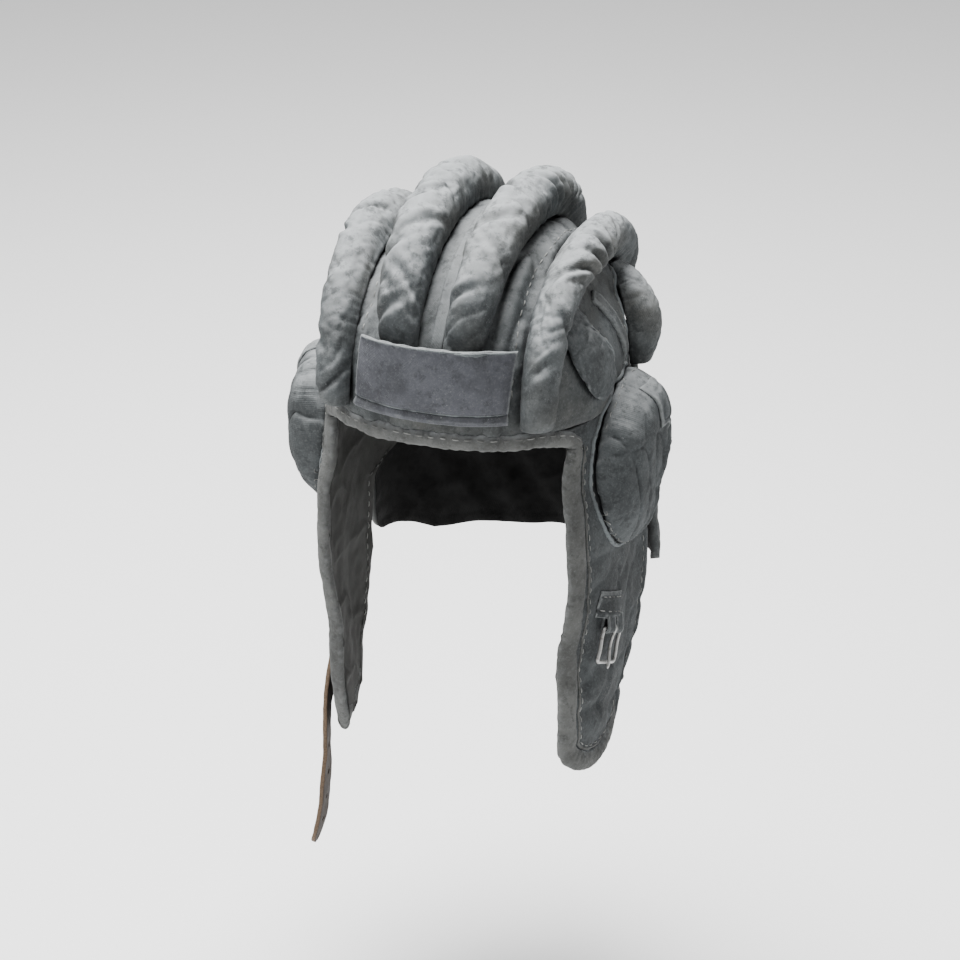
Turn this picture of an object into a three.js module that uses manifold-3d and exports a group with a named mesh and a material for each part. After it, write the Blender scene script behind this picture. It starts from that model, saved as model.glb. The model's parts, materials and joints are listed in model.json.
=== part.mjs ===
// A padded cloth crew helmet with four crown rolls, ear pads, long side flaps and a chin strap.
// Millimetres, +Z up, the face opening towards -Y and the wearer's left side towards +X.
// The origin is the top of the head hollow, where the helmet sits on the wearer's crown.
import * as THREE from "three";
import { mergeVertices } from "three/addons/utils/BufferGeometryUtils.js";
import Module from "manifold-3d";

// Head form: the inner face of the cloth, above and below the rim of the crown
const CROWN_HEIGHT = 95;
const CROWN_FULLNESS = 2.3;
const RIM_HALF_WIDTH = 82;
const RIM_FRONT = 97;
const RIM_BACK = 97;
const SHELL_WALL = 4;
const SEAM_GAP = 0.3;
const LAY_GAP = 0.8;

// The brow's edge droops from the middle to the corners of the face opening, which lie at an
// angle from the left side; beyond them the crown's edge comes down to the rim
const BROW_RISE = 1.4;
const BROW_DROOP = 4.5;
const CORNER_TURN = -40;
const CORNER_BLEND = 14;

// Side flaps: drop is measured down from the rim. The right flap's front leans in; the lean dies
// out towards a hinge line, in shares of the rim's front size behind the middle of the ear.
const FLAP_DROP = 238;
const FLAP_END_DROP = 33;
const FLAP_WALL = 4;
const RIGHT_FLAP_LEAN = 8;
const LEAN_HINGE = 0.5;
const LEAN_SPAN = 1.25;
const REAR_BINDING_TAPER = 22;

// Nape flap
const NAPE_DROP = 150;
const NAPE_LAP = 9;
const NAPE_SIDE_Y = 57;
const NAPE_CORNER = 24;
const NAPE_WALL = 4;

// Padded tube that binds the brow and the front edges of the flaps
const BINDING_WIDTH = 10;
const BINDING_THICK = 8;

// Crown rolls
const INNER_ROLL_WIDTH = 31;
const INNER_ROLL_HEIGHT = 29;
const OUTER_ROLL_WIDTH = 27;
const OUTER_ROLL_HEIGHT = 27;
const SIDE_ROLL_WIDTH = 24;
const SIDE_ROLL_HEIGHT = 15;

// Forehead panel: its upper and lower edges are heights above the rim
const PANEL_HALF_WIDTH = 44;
const PANEL_TOP_RISE = 52;
const PANEL_BOTTOM_RISE = 13;
const PANEL_WALL = 2.2;
const PANEL_STAND_TOP = 15;
const PANEL_STAND_BOTTOM = 0.5;
const PANEL_CORNER_STAND = 0.55;

// Flat tapes sewn over the seams
const TAPE_WIDTH = 8;
const TAPE_WALL = 1.5;
const TAPE_FRONT_TURN = -58;
const TAPE_BACK_TURN = 76;
const TAPE_ACROSS = 0.04;

// Ear pads and the covers of their pockets: the pad's middle is a drop below the rim, and the
// lean is how much fuller the pad is towards its top
const PAD_CENTRE_Y = 2;
const PAD_CENTRE_DROP = 42;
const PAD_HALF_LENGTH = 50;
const PAD_HALF_HEIGHT = 54;
const LEFT_PAD_DEPTH = 19;
const RIGHT_PAD_DEPTH = 27;
const PAD_WELT = 3;
const LEFT_PAD_LEAN = 0.5;
const RIGHT_PAD_LEAN = 0.25;
const COVER_WALL = 1.8;
const COVER_FROM_TURN = -12;
const COVER_TO_TURN = 100;
const COVER_INNER = 0.4;
const COVER_OUTER = 0.9;
const COVER_STAND = 1.4;

// Buckle on the left flap
const BUCKLE_WIDTH = 27;
const BUCKLE_HEIGHT = 23;
const BUCKLE_WIRE = 2.2;
const BUCKLE_CORNER = 2.2;
const BUCKLE_TILT = 26;
const BUCKLE_Y = -41;
const BUCKLE_DROP = 149;
const TONGUE_SHARE = 0.84;
const TONGUE_OVERHANG = 1.4;
const PIN_CLEARANCE = 0.35;
const LOOP_WIDTH = 21;
const LOOP_WALL = 1.6;
const LOOP_SLOT = 3.6;
const LOOP_SLIT = 9;
const LOOP_UNDER_SLIT = 5;
const LOOP_TAIL = 10;
const PATCH_LENGTH = 34;
const PATCH_HEIGHT = 13;
const PATCH_WALL = 1.8;

// Chin strap on the right flap
const STRAP_WIDTH = 17;
const STRAP_WALL = 2.8;
const STRAP_POINT = 16;

const COLOURS = {
  cloth: 0x74797c,
  pale: 0x878b8d,
  panel: 0x66686f,
  binding: 0x6c6f70,
  dark: 0x2e3031,
  leather: 0x54493f,
  wire: 0xb9bcbd,
};

// The plan of the head form at heights below the rim, as shares of the rim's own sizes:
// drop is a share of the flap's drop, squareFront and squareBack are the exponents of the
// rounded box that the plan is, before and behind the ears
const PLAN_ROWS = [
  { drop: 0, width: 1, front: 1, back: 1, squareFront: 2.3, squareBack: 2.3 },
  { drop: 0.15, width: 1.025, front: 1, back: 1, squareFront: 2.5, squareBack: 2.6 },
  { drop: 0.25, width: 1.06, front: 1.01, back: 1, squareFront: 2.8, squareBack: 3.2 },
  { drop: 0.44, width: 1.073, front: 1, back: 1, squareFront: 3, squareBack: 5 },
  { drop: 0.625, width: 1.073, front: 0.91, back: 0.95, squareFront: 3, squareBack: 6 },
  { drop: 0.785, width: 1.05, front: 0.97, back: 0.93, squareFront: 3, squareBack: 6 },
  { drop: 1, width: 1.02, front: 0.88, back: 0.9, squareFront: 3, squareBack: 6 },
];

// The outline of a side flap seen from the side, as shares of the flap's drop and of the rim:
// front of the rim's front size, rear of its back size
const FLAP_ROWS = [
  { drop: 0, front: 0.61, rear: 0.79 },
  { drop: 0.042, front: 0.64, rear: 0.79 },
  { drop: 0.147, front: 0.7, rear: 0.79 },
  { drop: 0.252, front: 0.742, rear: 0.79 },
  { drop: 0.38, front: 0.75, rear: 0.775 },
  { drop: 0.425, front: 0.753, rear: 0.5 },
  { drop: 0.5, front: 0.757, rear: 0.52 },
  { drop: 0.625, front: 0.763, rear: 0.47 },
  { drop: 0.785, front: 0.77, rear: 0.24 },
  { drop: 0.86, front: 0.75, rear: 0.12 },
];

// A crown roll from front to back: turn is the angle from straight forward to straight back,
// across is the share of the rim's half width, width and height are shares of the full roll
const INNER_ROLL_ROWS = [
  { turn: -70, across: 0.21, width: 0.72, height: 0.2 },
  { turn: -60, across: 0.22, width: 0.76, height: 0.3 },
  { turn: -52, across: 0.23, width: 0.84, height: 0.62 },
  { turn: -42, across: 0.24, width: 0.9, height: 0.84 },
  { turn: -20, across: 0.255, width: 0.97, height: 0.96 },
  { turn: 10, across: 0.27, width: 1, height: 1 },
  { turn: 40, across: 0.27, width: 1, height: 0.98 },
  { turn: 62, across: 0.25, width: 0.94, height: 0.8 },
  { turn: 80, across: 0.23, width: 0.8, height: 0.3 },
];
const OUTER_ROLL_ROWS = [
  { turn: -83, across: 0.69, width: 0.76, height: 0.5 },
  { turn: -79, across: 0.69, width: 0.78, height: 0.62 },
  { turn: -60, across: 0.685, width: 0.84, height: 0.72 },
  { turn: -30, across: 0.69, width: 0.93, height: 0.9 },
  { turn: 0, across: 0.7, width: 1, height: 1 },
  { turn: 30, across: 0.7, width: 1, height: 1 },
  { turn: 56, across: 0.68, width: 0.96, height: 0.8 },
  { turn: 78, across: 0.63, width: 0.8, height: 0.3 },
];

// Rolls and tapes on the side of the crown, as shares of the rim's front and back and of the
// crown's height: along is positive towards the back, down runs from the origin to the rim
const TEMPLE_ROLL_ROWS = [
  { along: -0.44, down: 0.34, width: 0.5, height: 0.5 },
  { along: -0.45, down: 0.43, width: 0.8, height: 0.75 },
  { along: -0.42, down: 0.56, width: 1.1, height: 0.85 },
  { along: -0.35, down: 0.7, width: 1.15, height: 0.85 },
  { along: -0.27, down: 0.83, width: 0.8, height: 0.7 },
];
const REAR_ROLL_ROWS = [
  { along: 0.45, down: 0.36, width: 0.6, height: 0.5 },
  { along: 0.42, down: 0.46, width: 0.9, height: 1.15 },
  { along: 0.37, down: 0.57, width: 1.05, height: 1.5 },
  { along: 0.35, down: 0.72, width: 1.05, height: 1.4 },
  { along: 0.34, down: 0.84, width: 0.8, height: 0.9 },
];
const SIDE_TAPE_ROWS = [
  { along: -0.14, down: 0.33 },
  { along: -0.07, down: 0.44 },
  { along: 0, down: 0.57 },
  { along: 0.06, down: 0.7 },
  { along: 0.08, down: 0.83 },
];

// The chin strap from its sewn end: along as a share of the rim's front size, drop as a share
// of the flap's drop, stand is how far it lies off the flap in strap thicknesses
const STRAP_ROWS = [
  { along: -0.02, drop: 0.546, stand: 0 },
  { along: -0.05, drop: 0.643, stand: 0 },
  { along: -0.13, drop: 0.74, stand: 0.1 },
  { along: -0.3, drop: 0.825, stand: 0.4 },
  { along: -0.52, drop: 0.895, stand: 1.3 },
  { along: -0.67, drop: 0.985, stand: 2.9 },
  { along: -0.69, drop: 1.113, stand: 3.6 },
  { along: -0.68, drop: 1.24, stand: 4.8 },
  { along: -0.67, drop: 1.315, stand: 6.2 },
];

const radians = THREE.MathUtils.degToRad;
const RIM_Z = -CROWN_HEIGHT;
const TIP_Z = RIM_Z - FLAP_DROP;
const PANEL_TOP = RIM_Z + PANEL_TOP_RISE;
const PANEL_BOTTOM = RIM_Z + PANEL_BOTTOM_RISE;
const PAD_CENTRE_Z = RIM_Z - PAD_CENTRE_DROP;
const BUCKLE_Z = RIM_Z - BUCKLE_DROP;
const CORNER_ANGLE = radians(CORNER_TURN);
const mix = THREE.MathUtils.lerp;
const clamp = THREE.MathUtils.clamp;

// A value read between the rows of a table
function readRows(rows, key, at, column) {
  const last = rows.length - 1;
  const k = rows.findIndex((row) => row[key] > at);
  if (k === 0) return rows[0][column];
  if (k < 0) return rows[last][column];
  const low = rows[k - 1];
  const high = rows[k];
  return mix(low[column], high[column], (at - low[key]) / (high[key] - low[key]));
}

// The head form's plan at height z, grown outwards: half width, front, back and squareness
function planAt(z, grow) {
  if (z >= RIM_Z) {
    const lift = clamp((z - RIM_Z) / (CROWN_HEIGHT + grow), 0, 1);
    const share = (1 - lift ** CROWN_FULLNESS) ** (1 / CROWN_FULLNESS);
    return {
      width: (RIM_HALF_WIDTH + grow) * share,
      front: (RIM_FRONT + grow) * share,
      back: (RIM_BACK + grow) * share,
      squareFront: PLAN_ROWS[0].squareFront,
      squareBack: PLAN_ROWS[0].squareBack,
    };
  }
  const drop = (RIM_Z - z) / FLAP_DROP;
  return {
    width: RIM_HALF_WIDTH * readRows(PLAN_ROWS, "drop", drop, "width") + grow,
    front: RIM_FRONT * readRows(PLAN_ROWS, "drop", drop, "front") + grow,
    back: RIM_BACK * readRows(PLAN_ROWS, "drop", drop, "back") + grow,
    squareFront: readRows(PLAN_ROWS, "drop", drop, "squareFront"),
    squareBack: readRows(PLAN_ROWS, "drop", drop, "squareBack"),
  };
}

// How far out a point is: 1 on the head form grown by grow, less inside it
function levelOf(p, grow) {
  const z = Math.min(p.z, RIM_Z);
  const plan = planAt(z, grow);
  const reach = p.y < 0 ? plan.front : plan.back;
  const s = p.y < 0 ? plan.squareFront : plan.squareBack;
  const flat = ((Math.abs(p.x) / plan.width) ** s + (Math.abs(p.y) / reach) ** s) ** (1 / s);
  if (p.z <= RIM_Z) return flat;
  const lift = (p.z - RIM_Z) / (CROWN_HEIGHT + grow);
  return (flat ** CROWN_FULLNESS + lift ** CROWN_FULLNESS) ** (1 / CROWN_FULLNESS);
}

// The outward direction of the head form at a point
function outwardAt(p) {
  const step = 0.5;
  const slope = ["x", "y", "z"].map((axis) => {
    const ahead = p.clone();
    const behind = p.clone();
    ahead[axis] += step;
    behind[axis] -= step;
    return levelOf(ahead, 0) - levelOf(behind, 0);
  });
  return new THREE.Vector3(...slope).normalize();
}

// The crown's surface where a ray from the middle of its rim leaves it
function onCrown(direction, grow) {
  const centre = new THREE.Vector3(0, 0, RIM_Z);
  const level = levelOf(centre.clone().add(direction), grow);
  return centre.addScaledVector(direction, 1 / level);
}

// The crown at a distance across from the middle, turned from the top towards the back
function crownAcross(across, turn, grow) {
  const direction = new THREE.Vector3(across / CROWN_HEIGHT, Math.sin(turn), Math.cos(turn));
  let p = onCrown(direction, grow);
  for (let i = 0; i < 12; i++) {
    direction.x *= across === 0 ? 0 : across / p.x;
    p = onCrown(direction, grow);
  }
  return p;
}

// The side wall at a distance along and a height: side is 1 on the left, -1 on the right,
// where the front of the flap hangs further in towards its end
function sideWall(y, z, grow, side) {
  const plan = planAt(z, grow);
  const share = Math.min(Math.abs(y) / (y < 0 ? plan.front : plan.back), 1);
  const square = y < 0 ? plan.squareFront : plan.squareBack;
  const reach = plan.width * (1 - share ** square) ** (1 / square);
  const drop = clamp((RIM_Z - z) / FLAP_DROP, 0, 1);
  const forward = clamp((LEAN_HINGE - y / RIM_FRONT) / LEAN_SPAN, 0, 1);
  const lean = side < 0 ? RIGHT_FLAP_LEAN * drop ** 1.5 * forward : 0;
  return new THREE.Vector3(side * (reach - lean), y, z);
}

// The wall in the plan direction phi, counted from the left side towards the back
function wallToward(phi, z, grow) {
  const plan = planAt(z, grow);
  const reach = Math.sin(phi) < 0 ? plan.front : plan.back;
  const c = Math.abs(Math.cos(phi)) / plan.width;
  const s = Math.abs(Math.sin(phi)) / reach;
  const square = Math.sin(phi) < 0 ? plan.squareFront : plan.squareBack;
  const r = 1 / (c ** square + s ** square) ** (1 / square);
  return new THREE.Vector3(r * Math.cos(phi), r * Math.sin(phi), z);
}

// A closed mesh geometry whose faces point out, from its points and triangles
function closedGeometry(points, faces) {
  let volume = 0;
  const cross = new THREE.Vector3();
  for (const [a, b, c] of faces) {
    volume += cross.crossVectors(points[a], points[b]).dot(points[c]);
  }
  const geometry = new THREE.BufferGeometry().setFromPoints(points);
  geometry.setIndex((volume < 0 ? faces.map(([a, b, c]) => [a, c, b]) : faces).flat());
  geometry.computeVertexNormals();
  return geometry;
}

// Two triangles for each cell of a grid of points; place gives the number of a point
function gridFaces(rows, columns, place) {
  const faces = [];
  for (let i = 0; i < rows; i++) {
    for (let j = 0; j < columns; j++) {
      faces.push([place(i, j), place(i, j + 1), place(i + 1, j + 1)]);
      faces.push([place(i, j), place(i + 1, j + 1), place(i + 1, j)]);
    }
  }
  return faces;
}

// A sheet with a thickness: pointOf(u, v, face) with face 0 inside and 1 outside
function sheetGeometry(rows, columns, pointOf) {
  const points = [];
  for (const face of [0, 1])
    for (let i = 0; i <= rows; i++)
      for (let j = 0; j <= columns; j++) points.push(pointOf(j / columns, i / rows, face));
  const layer = (rows + 1) * (columns + 1);
  const place = (i, j) => i * (columns + 1) + j;
  const inside = gridFaces(rows, columns, place);
  const outside = inside.map(([a, b, c]) => [a + layer, c + layer, b + layer]);
  const rim = [];
  for (let j = 0; j < columns; j++) rim.push(place(0, j));
  for (let i = 0; i < rows; i++) rim.push(place(i, columns));
  for (let j = columns; j > 0; j--) rim.push(place(rows, j));
  for (let i = rows; i > 0; i--) rim.push(place(i, 0));
  const walls = rim.flatMap((a, k) => {
    const b = rim[(k + 1) % rim.length];
    return [[a, a + layer, b + layer], [a, b + layer, b]];
  });
  return closedGeometry(points, [...inside, ...outside, ...walls]);
}

// A solid through rings of points, closed by a fan at each end
function sweptGeometry(rings) {
  const sides = rings[0].length;
  const points = rings.flat();
  const place = (i, j) => i * sides + (j % sides);
  const faces = gridFaces(rings.length - 1, sides, place);
  for (const end of [0, rings.length - 1]) {
    const middle = new THREE.Vector3();
    rings[end].forEach((p) => middle.addScaledVector(p, 1 / sides));
    points.push(middle);
    for (let j = 0; j < sides; j++) {
      const pair = [place(end, j), place(end, j + 1)];
      faces.push(end ? [...pair, points.length - 1] : [...pair.reverse(), points.length - 1]);
    }
  }
  return closedGeometry(points, faces);
}

// Stations along a smooth line through points on the form, each with its own directions
function stationsAlong(points, count, outwardOf = outwardAt) {
  const curve = new THREE.CatmullRomCurve3(points, false, "centripetal");
  return Array.from({ length: count + 1 }, (unused, i) => {
    const t = i / count;
    const at = curve.getPointAt(t);
    const along = curve.getTangentAt(t);
    const out = outwardOf(at);
    const aside = new THREE.Vector3().crossVectors(along, out).normalize();
    out.crossVectors(aside, along).normalize();
    return { t, at, along, out, aside };
  });
}

// An elliptic ring round a station; flat cuts off the share of it that would lie on the cloth
function roundRing(station, halfWidth, height, sides, flat) {
  return Array.from({ length: sides }, (unused, k) => {
    const angle = (2 * Math.PI * (k + 0.5)) / sides;
    const lift = Math.max(Math.sin(angle), -1 + 2 * flat);
    return station.at
      .clone()
      .addScaledVector(station.aside, halfWidth * Math.cos(angle))
      .addScaledVector(station.out, (height / 2) * (lift + 1 - 2 * flat));
  });
}

function named(name, geometry, colour, roughness = 0.95, metalness = 0) {
  const material = new THREE.MeshStandardMaterial({ color: colour, roughness, metalness });
  const mesh = new THREE.Mesh(geometry, material);
  mesh.name = name;
  return mesh;
}

// The height of the middle of the brow's binding in the plan direction phi
function browHeight(phi) {
  const share = clamp((phi + Math.PI / 2) / (CORNER_ANGLE + Math.PI / 2), -1, 1);
  return RIM_Z + BROW_RISE - BROW_DROOP * share * share;
}

// The crown: a hollow dome, cut higher over the face than at the sides and the back
function crownShell() {
  const spokes = 44;
  const rings = 10;
  const points = [];
  const rimHeight = (phi) => {
    const ahead = Math.abs(Math.atan2(Math.cos(phi), -Math.sin(phi)));
    const span = CORNER_ANGLE + Math.PI / 2;
    const open = 1 - clamp((ahead - span) / radians(CORNER_BLEND), 0, 1);
    const front = browHeight(-Math.PI / 2 + Math.min(ahead, span)) + BINDING_WIDTH / 2 + SEAM_GAP;
    return mix(RIM_Z, front, open * open * (3 - 2 * open));
  };
  for (const grow of [0, SHELL_WALL]) {
    for (let i = 0; i < rings; i++) {
      for (let j = 0; j < spokes; j++) {
        const phi = (2 * Math.PI * j) / spokes;
        const low = (rimHeight(phi) - RIM_Z) / (CROWN_HEIGHT + grow);
        const angle = mix(Math.asin(low ** (CROWN_FULLNESS / 2)), Math.PI / 2, i / rings);
        const z = RIM_Z + (CROWN_HEIGHT + grow) * Math.sin(angle) ** (2 / CROWN_FULLNESS);
        points.push(wallToward(phi, z, grow));
      }
    }
    points.push(new THREE.Vector3(0, 0, grow));
  }
  const layer = rings * spokes + 1;
  const place = (i, j) => i * spokes + (j % spokes);
  const inside = gridFaces(rings - 1, spokes, place);
  for (let j = 0; j < spokes; j++) {
    inside.push([place(rings - 1, j), place(rings - 1, j + 1), layer - 1]);
  }
  const outside = inside.map(([a, b, c]) => [a + layer, c + layer, b + layer]);
  const lip = [];
  for (let j = 0; j < spokes; j++) {
    const [a, b] = [place(0, j), place(0, j + 1)];
    lip.push([a, a + layer, b + layer], [a, b + layer, b]);
  }
  return closedGeometry(points, [...inside, ...outside, ...lip]);
}

// Front and rear edges of a side flap, drawn in by inset from its outline
function flapEdges(z, frontInset, rearInset) {
  const end = TIP_Z + FLAP_END_DROP;
  const drop = (RIM_Z - Math.max(z, end)) / FLAP_DROP;
  const front = -RIM_FRONT * readRows(FLAP_ROWS, "drop", drop, "front") + frontInset;
  const rear = RIM_BACK * readRows(FLAP_ROWS, "drop", drop, "rear") - rearInset;
  if (z >= end) return { front, rear };
  const share = clamp((end - z) / (FLAP_END_DROP - frontInset), 0, 1);
  const half = ((rear - front) / 2) * Math.sqrt(1 - share * share);
  const middle = (front + rear) / 2;
  return { front: middle - half, rear: middle + half };
}

// A side flap hangs from the rim to a rounded end, inside its binding
function sideFlap(side) {
  const inset = BINDING_WIDTH + 1.5 * LAY_GAP;
  const top = RIM_Z - SEAM_GAP;
  const bottom = TIP_Z + inset + 0.5;
  const end = TIP_Z + FLAP_END_DROP;
  const rows = 20;
  const straight = 15;
  return sheetGeometry(rows, 8, (u, v, face) => {
    const row = Math.round(v * rows);
    const curl = radians(90) * ((row - straight) / (rows - straight));
    const z = row <= straight ? mix(top, end, row / straight) : mix(end, bottom, Math.sin(curl));
    const rearInset = inset * clamp((end - z) / REAR_BINDING_TAPER + 1, 0, 1);
    const { front, rear } = flapEdges(z, inset, rearInset);
    return sideWall(mix(front, rear, u), z, face * FLAP_WALL, side);
  });
}

// The nape flap laps over the outside of the rim and of both side flaps
function napeFlap() {
  const top = RIM_Z + NAPE_LAP;
  const bottom = RIM_Z - NAPE_DROP;
  const stand = SHELL_WALL + LAY_GAP;
  return sheetGeometry(11, 20, (u, v, face) => {
    const z = mix(top, bottom, v);
    const share = clamp(1 - (z - bottom) / NAPE_CORNER, 0, 1);
    const edge = sideWall(NAPE_SIDE_Y, z, stand, 1);
    const cut = (NAPE_CORNER * (1 - Math.sqrt(1 - share * share))) / edge.length();
    const start = Math.atan2(edge.y, edge.x) + cut;
    return wallToward(mix(start, Math.PI - start, u), z, stand + face * NAPE_WALL);
  });
}

// The line of the binding from the middle of the brow down one flap and round its end
function bindingLine(side) {
  const inset = BINDING_WIDTH / 2;
  const points = [];
  for (const share of [0.16, 0.32, 0.48, 0.64, 0.8]) {
    const phi = mix(-Math.PI / 2, CORNER_ANGLE, share);
    const p = wallToward(phi, browHeight(phi), SHELL_WALL / 2);
    p.x *= side;
    points.push(p);
  }
  const end = TIP_Z + FLAP_END_DROP;
  for (let k = 1; k <= 14; k++) {
    const z = mix(RIM_Z - BINDING_WIDTH, end, (k - 1) / 13);
    points.push(sideWall(flapEdges(z, inset, inset).front, z, FLAP_WALL / 2, side));
  }
  const { front, rear } = flapEdges(end, inset, inset);
  for (let k = 1; k <= 9; k++) {
    const angle = (Math.PI * k) / 10;
    const y = mix(front, rear, (1 - Math.cos(angle)) / 2);
    points.push(sideWall(y, end - (FLAP_END_DROP - inset) * Math.sin(angle), FLAP_WALL / 2, side));
  }
  return points;
}

function faceBinding() {
  const middle = wallToward(-Math.PI / 2, browHeight(-Math.PI / 2), SHELL_WALL / 2);
  const line = [...bindingLine(1).reverse(), middle, ...bindingLine(-1)];
  const rings = stationsAlong(line, 88).map((s) => {
    s.at.addScaledVector(s.out, -BINDING_THICK / 2);
    return roundRing(s, BINDING_WIDTH / 2, BINDING_THICK, 8, 0);
  });
  return sweptGeometry(rings);
}

// A crown roll: a stuffed tube that lies on the crown from front to back
function crownRoll(rows, side, width, height) {
  const line = [];
  const first = rows[0].turn;
  const last = rows[rows.length - 1].turn;
  const steps = 20;
  for (let i = 0; i <= steps; i++) {
    const turn = mix(first, last, i / steps);
    const across = side * RIM_HALF_WIDTH * readRows(rows, "turn", turn, "across");
    line.push(crownAcross(across, radians(turn), SHELL_WALL + LAY_GAP));
  }
  const rings = stationsAlong(line, steps).map((s) => {
    const turn = mix(first, last, s.t);
    const share = readRows(rows, "turn", turn, "width");
    const rise = readRows(rows, "turn", turn, "height");
    return roundRing(s, (width / 2) * share, height * rise, 12, 0.06);
  });
  return sweptGeometry(rings);
}

// Points on the side of the crown from a table of places along and down it
function sideLine(rows, side, grow) {
  return rows.map(({ along, down }) => {
    const y = along * (along < 0 ? RIM_FRONT : RIM_BACK);
    return sideWall(y, -down * CROWN_HEIGHT, grow, side);
  });
}

function sideRoll(rows, side) {
  const steps = 11;
  const rings = stationsAlong(sideLine(rows, side, SHELL_WALL + LAY_GAP), steps).map((s) => {
    const at = s.t * (rows.length - 1);
    const spread = rows.map((row, k) => ({ ...row, k }));
    const halfWidth = (SIDE_ROLL_WIDTH / 2) * readRows(spread, "k", at, "width");
    return roundRing(s, halfWidth, SIDE_ROLL_HEIGHT * readRows(spread, "k", at, "height"), 10, 0.12);
  });
  return sweptGeometry(rings);
}

// A flat strip along a line, with square edges, standing on the cloth
function stripGeometry(stations, widthOf, wall) {
  const rings = stations.map((s) => {
    const half = widthOf(s.t) / 2;
    return [[-half, 0], [half, 0], [half, wall], [-half, wall]].map(([aside, out]) =>
      s.at.clone().addScaledVector(s.aside, aside).addScaledVector(s.out, out),
    );
  });
  return sweptGeometry(rings);
}

function sideTape(side) {
  const line = sideLine(SIDE_TAPE_ROWS, side, SHELL_WALL + LAY_GAP);
  return stripGeometry(stationsAlong(line, 10), () => TAPE_WIDTH, TAPE_WALL);
}

// A flat tape over the middle seam of the crown, between the two inner rolls
function crownTape() {
  const line = [];
  const steps = 20;
  for (let i = 0; i <= steps; i++) {
    const turn = mix(TAPE_FRONT_TURN, TAPE_BACK_TURN, i / steps);
    line.push(crownAcross(RIM_HALF_WIDTH * TAPE_ACROSS, radians(turn), SHELL_WALL + LAY_GAP));
  }
  return stripGeometry(stationsAlong(line, 22), () => TAPE_WIDTH, TAPE_WALL);
}

// The forehead panel hangs over the feet of the inner rolls
function foreheadPanel() {
  return sheetGeometry(6, 14, (u, v, face) => {
    const z = mix(PANEL_TOP, PANEL_BOTTOM, v);
    const x = mix(-PANEL_HALF_WIDTH, PANEL_HALF_WIDTH, u);
    const edge = Math.abs(x) / PANEL_HALF_WIDTH;
    const top = PANEL_STAND_TOP * mix(1, PANEL_CORNER_STAND, edge ** 4);
    const stand = mix(top, PANEL_STAND_BOTTOM, v) + face * PANEL_WALL;
    const plan = planAt(z, SHELL_WALL);
    const square = plan.squareFront;
    const y = -plan.front * (1 - (Math.abs(x) / plan.width) ** square) ** (1 / square);
    const p = new THREE.Vector3(x, y, z);
    return p.addScaledVector(outwardAt(p), stand);
  });
}

// How far an ear pad stands out: out is 0 in its middle and 1 at its edge, angle 0 is the rear.
// The left pad has been pressed flatter than the right one.
function padRise(out, angle, side) {
  const depth = side > 0 ? LEFT_PAD_DEPTH : RIGHT_PAD_DEPTH;
  const lean = side > 0 ? LEFT_PAD_LEAN : RIGHT_PAD_LEAN;
  return depth * (1 + lean * out * Math.sin(angle)) * (1 - out ** 4) ** 0.6;
}

function padPoint(out, angle, rise, side) {
  const y = PAD_CENTRE_Y + PAD_HALF_LENGTH * out * Math.cos(angle);
  const z = PAD_CENTRE_Z + PAD_HALF_HEIGHT * out * Math.sin(angle);
  return sideWall(y, z, SHELL_WALL + LAY_GAP + rise, side);
}

function earPad(side) {
  const spokes = 20;
  const rings = 6;
  const points = [];
  const place = (face, i, j) => face * (1 + rings * spokes) + 1 + i * spokes + (j % spokes);
  for (const face of [0, 1]) {
    points.push(padPoint(0, 0, face * (PAD_WELT + padRise(0, 0, side)), side));
    for (let i = 1; i <= rings; i++) {
      for (let j = 0; j < spokes; j++) {
        const angle = (2 * Math.PI * j) / spokes;
        const out = Math.sin((radians(90) * i) / rings);
        points.push(padPoint(out, angle, face * (PAD_WELT + padRise(out, angle, side)), side));
      }
    }
  }
  const faces = [];
  for (const face of [0, 1]) {
    const part = gridFaces(rings - 1, spokes, (i, j) => place(face, i, j));
    const middle = place(face, 0, 0) - 1;
    for (let j = 0; j < spokes; j++) part.push([place(face, 0, j + 1), place(face, 0, j), middle]);
    faces.push(...(face ? part.map(([a, b, c]) => [a, c, b]) : part));
  }
  for (let j = 0; j < spokes; j++) {
    const [a, b] = [place(0, rings - 1, j), place(0, rings - 1, j + 1)];
    const [c, d] = [place(1, rings - 1, j), place(1, rings - 1, j + 1)];
    faces.push([a, b, d], [a, d, c]);
  }
  return closedGeometry(points, faces);
}

// The cover over the mouth of an ear pad's pocket, on its upper rear part
function earCover(side) {
  return sheetGeometry(6, 8, (u, v, face) => {
    const angle = radians(mix(COVER_FROM_TURN, COVER_TO_TURN, u));
    const out = mix(COVER_INNER, COVER_OUTER, v);
    const rise = PAD_WELT + padRise(out, angle, side) + COVER_STAND + face * COVER_WALL;
    return padPoint(out, angle, rise, side);
  });
}

// Directions in the left flap's outer face at the buckle: across runs to the rear and down
const buckleSeat = sideWall(BUCKLE_Y, BUCKLE_Z, FLAP_WALL, 1);
const buckleOut = outwardAt(buckleSeat);
const flapDown = new THREE.Vector3(0, 0, -1).addScaledVector(buckleOut, buckleOut.z).normalize();
const flapRear = new THREE.Vector3().crossVectors(buckleOut, flapDown).negate().normalize();
if (flapRear.y < 0) flapRear.negate();
const cosTilt = Math.cos(radians(BUCKLE_TILT));
const sinTilt = Math.sin(radians(BUCKLE_TILT));
const buckleAcross = flapRear.clone().multiplyScalar(cosTilt).addScaledVector(flapDown, sinTilt);
const buckleDown = flapDown.clone().multiplyScalar(cosTilt).addScaledVector(flapRear, -sinTilt);

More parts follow.
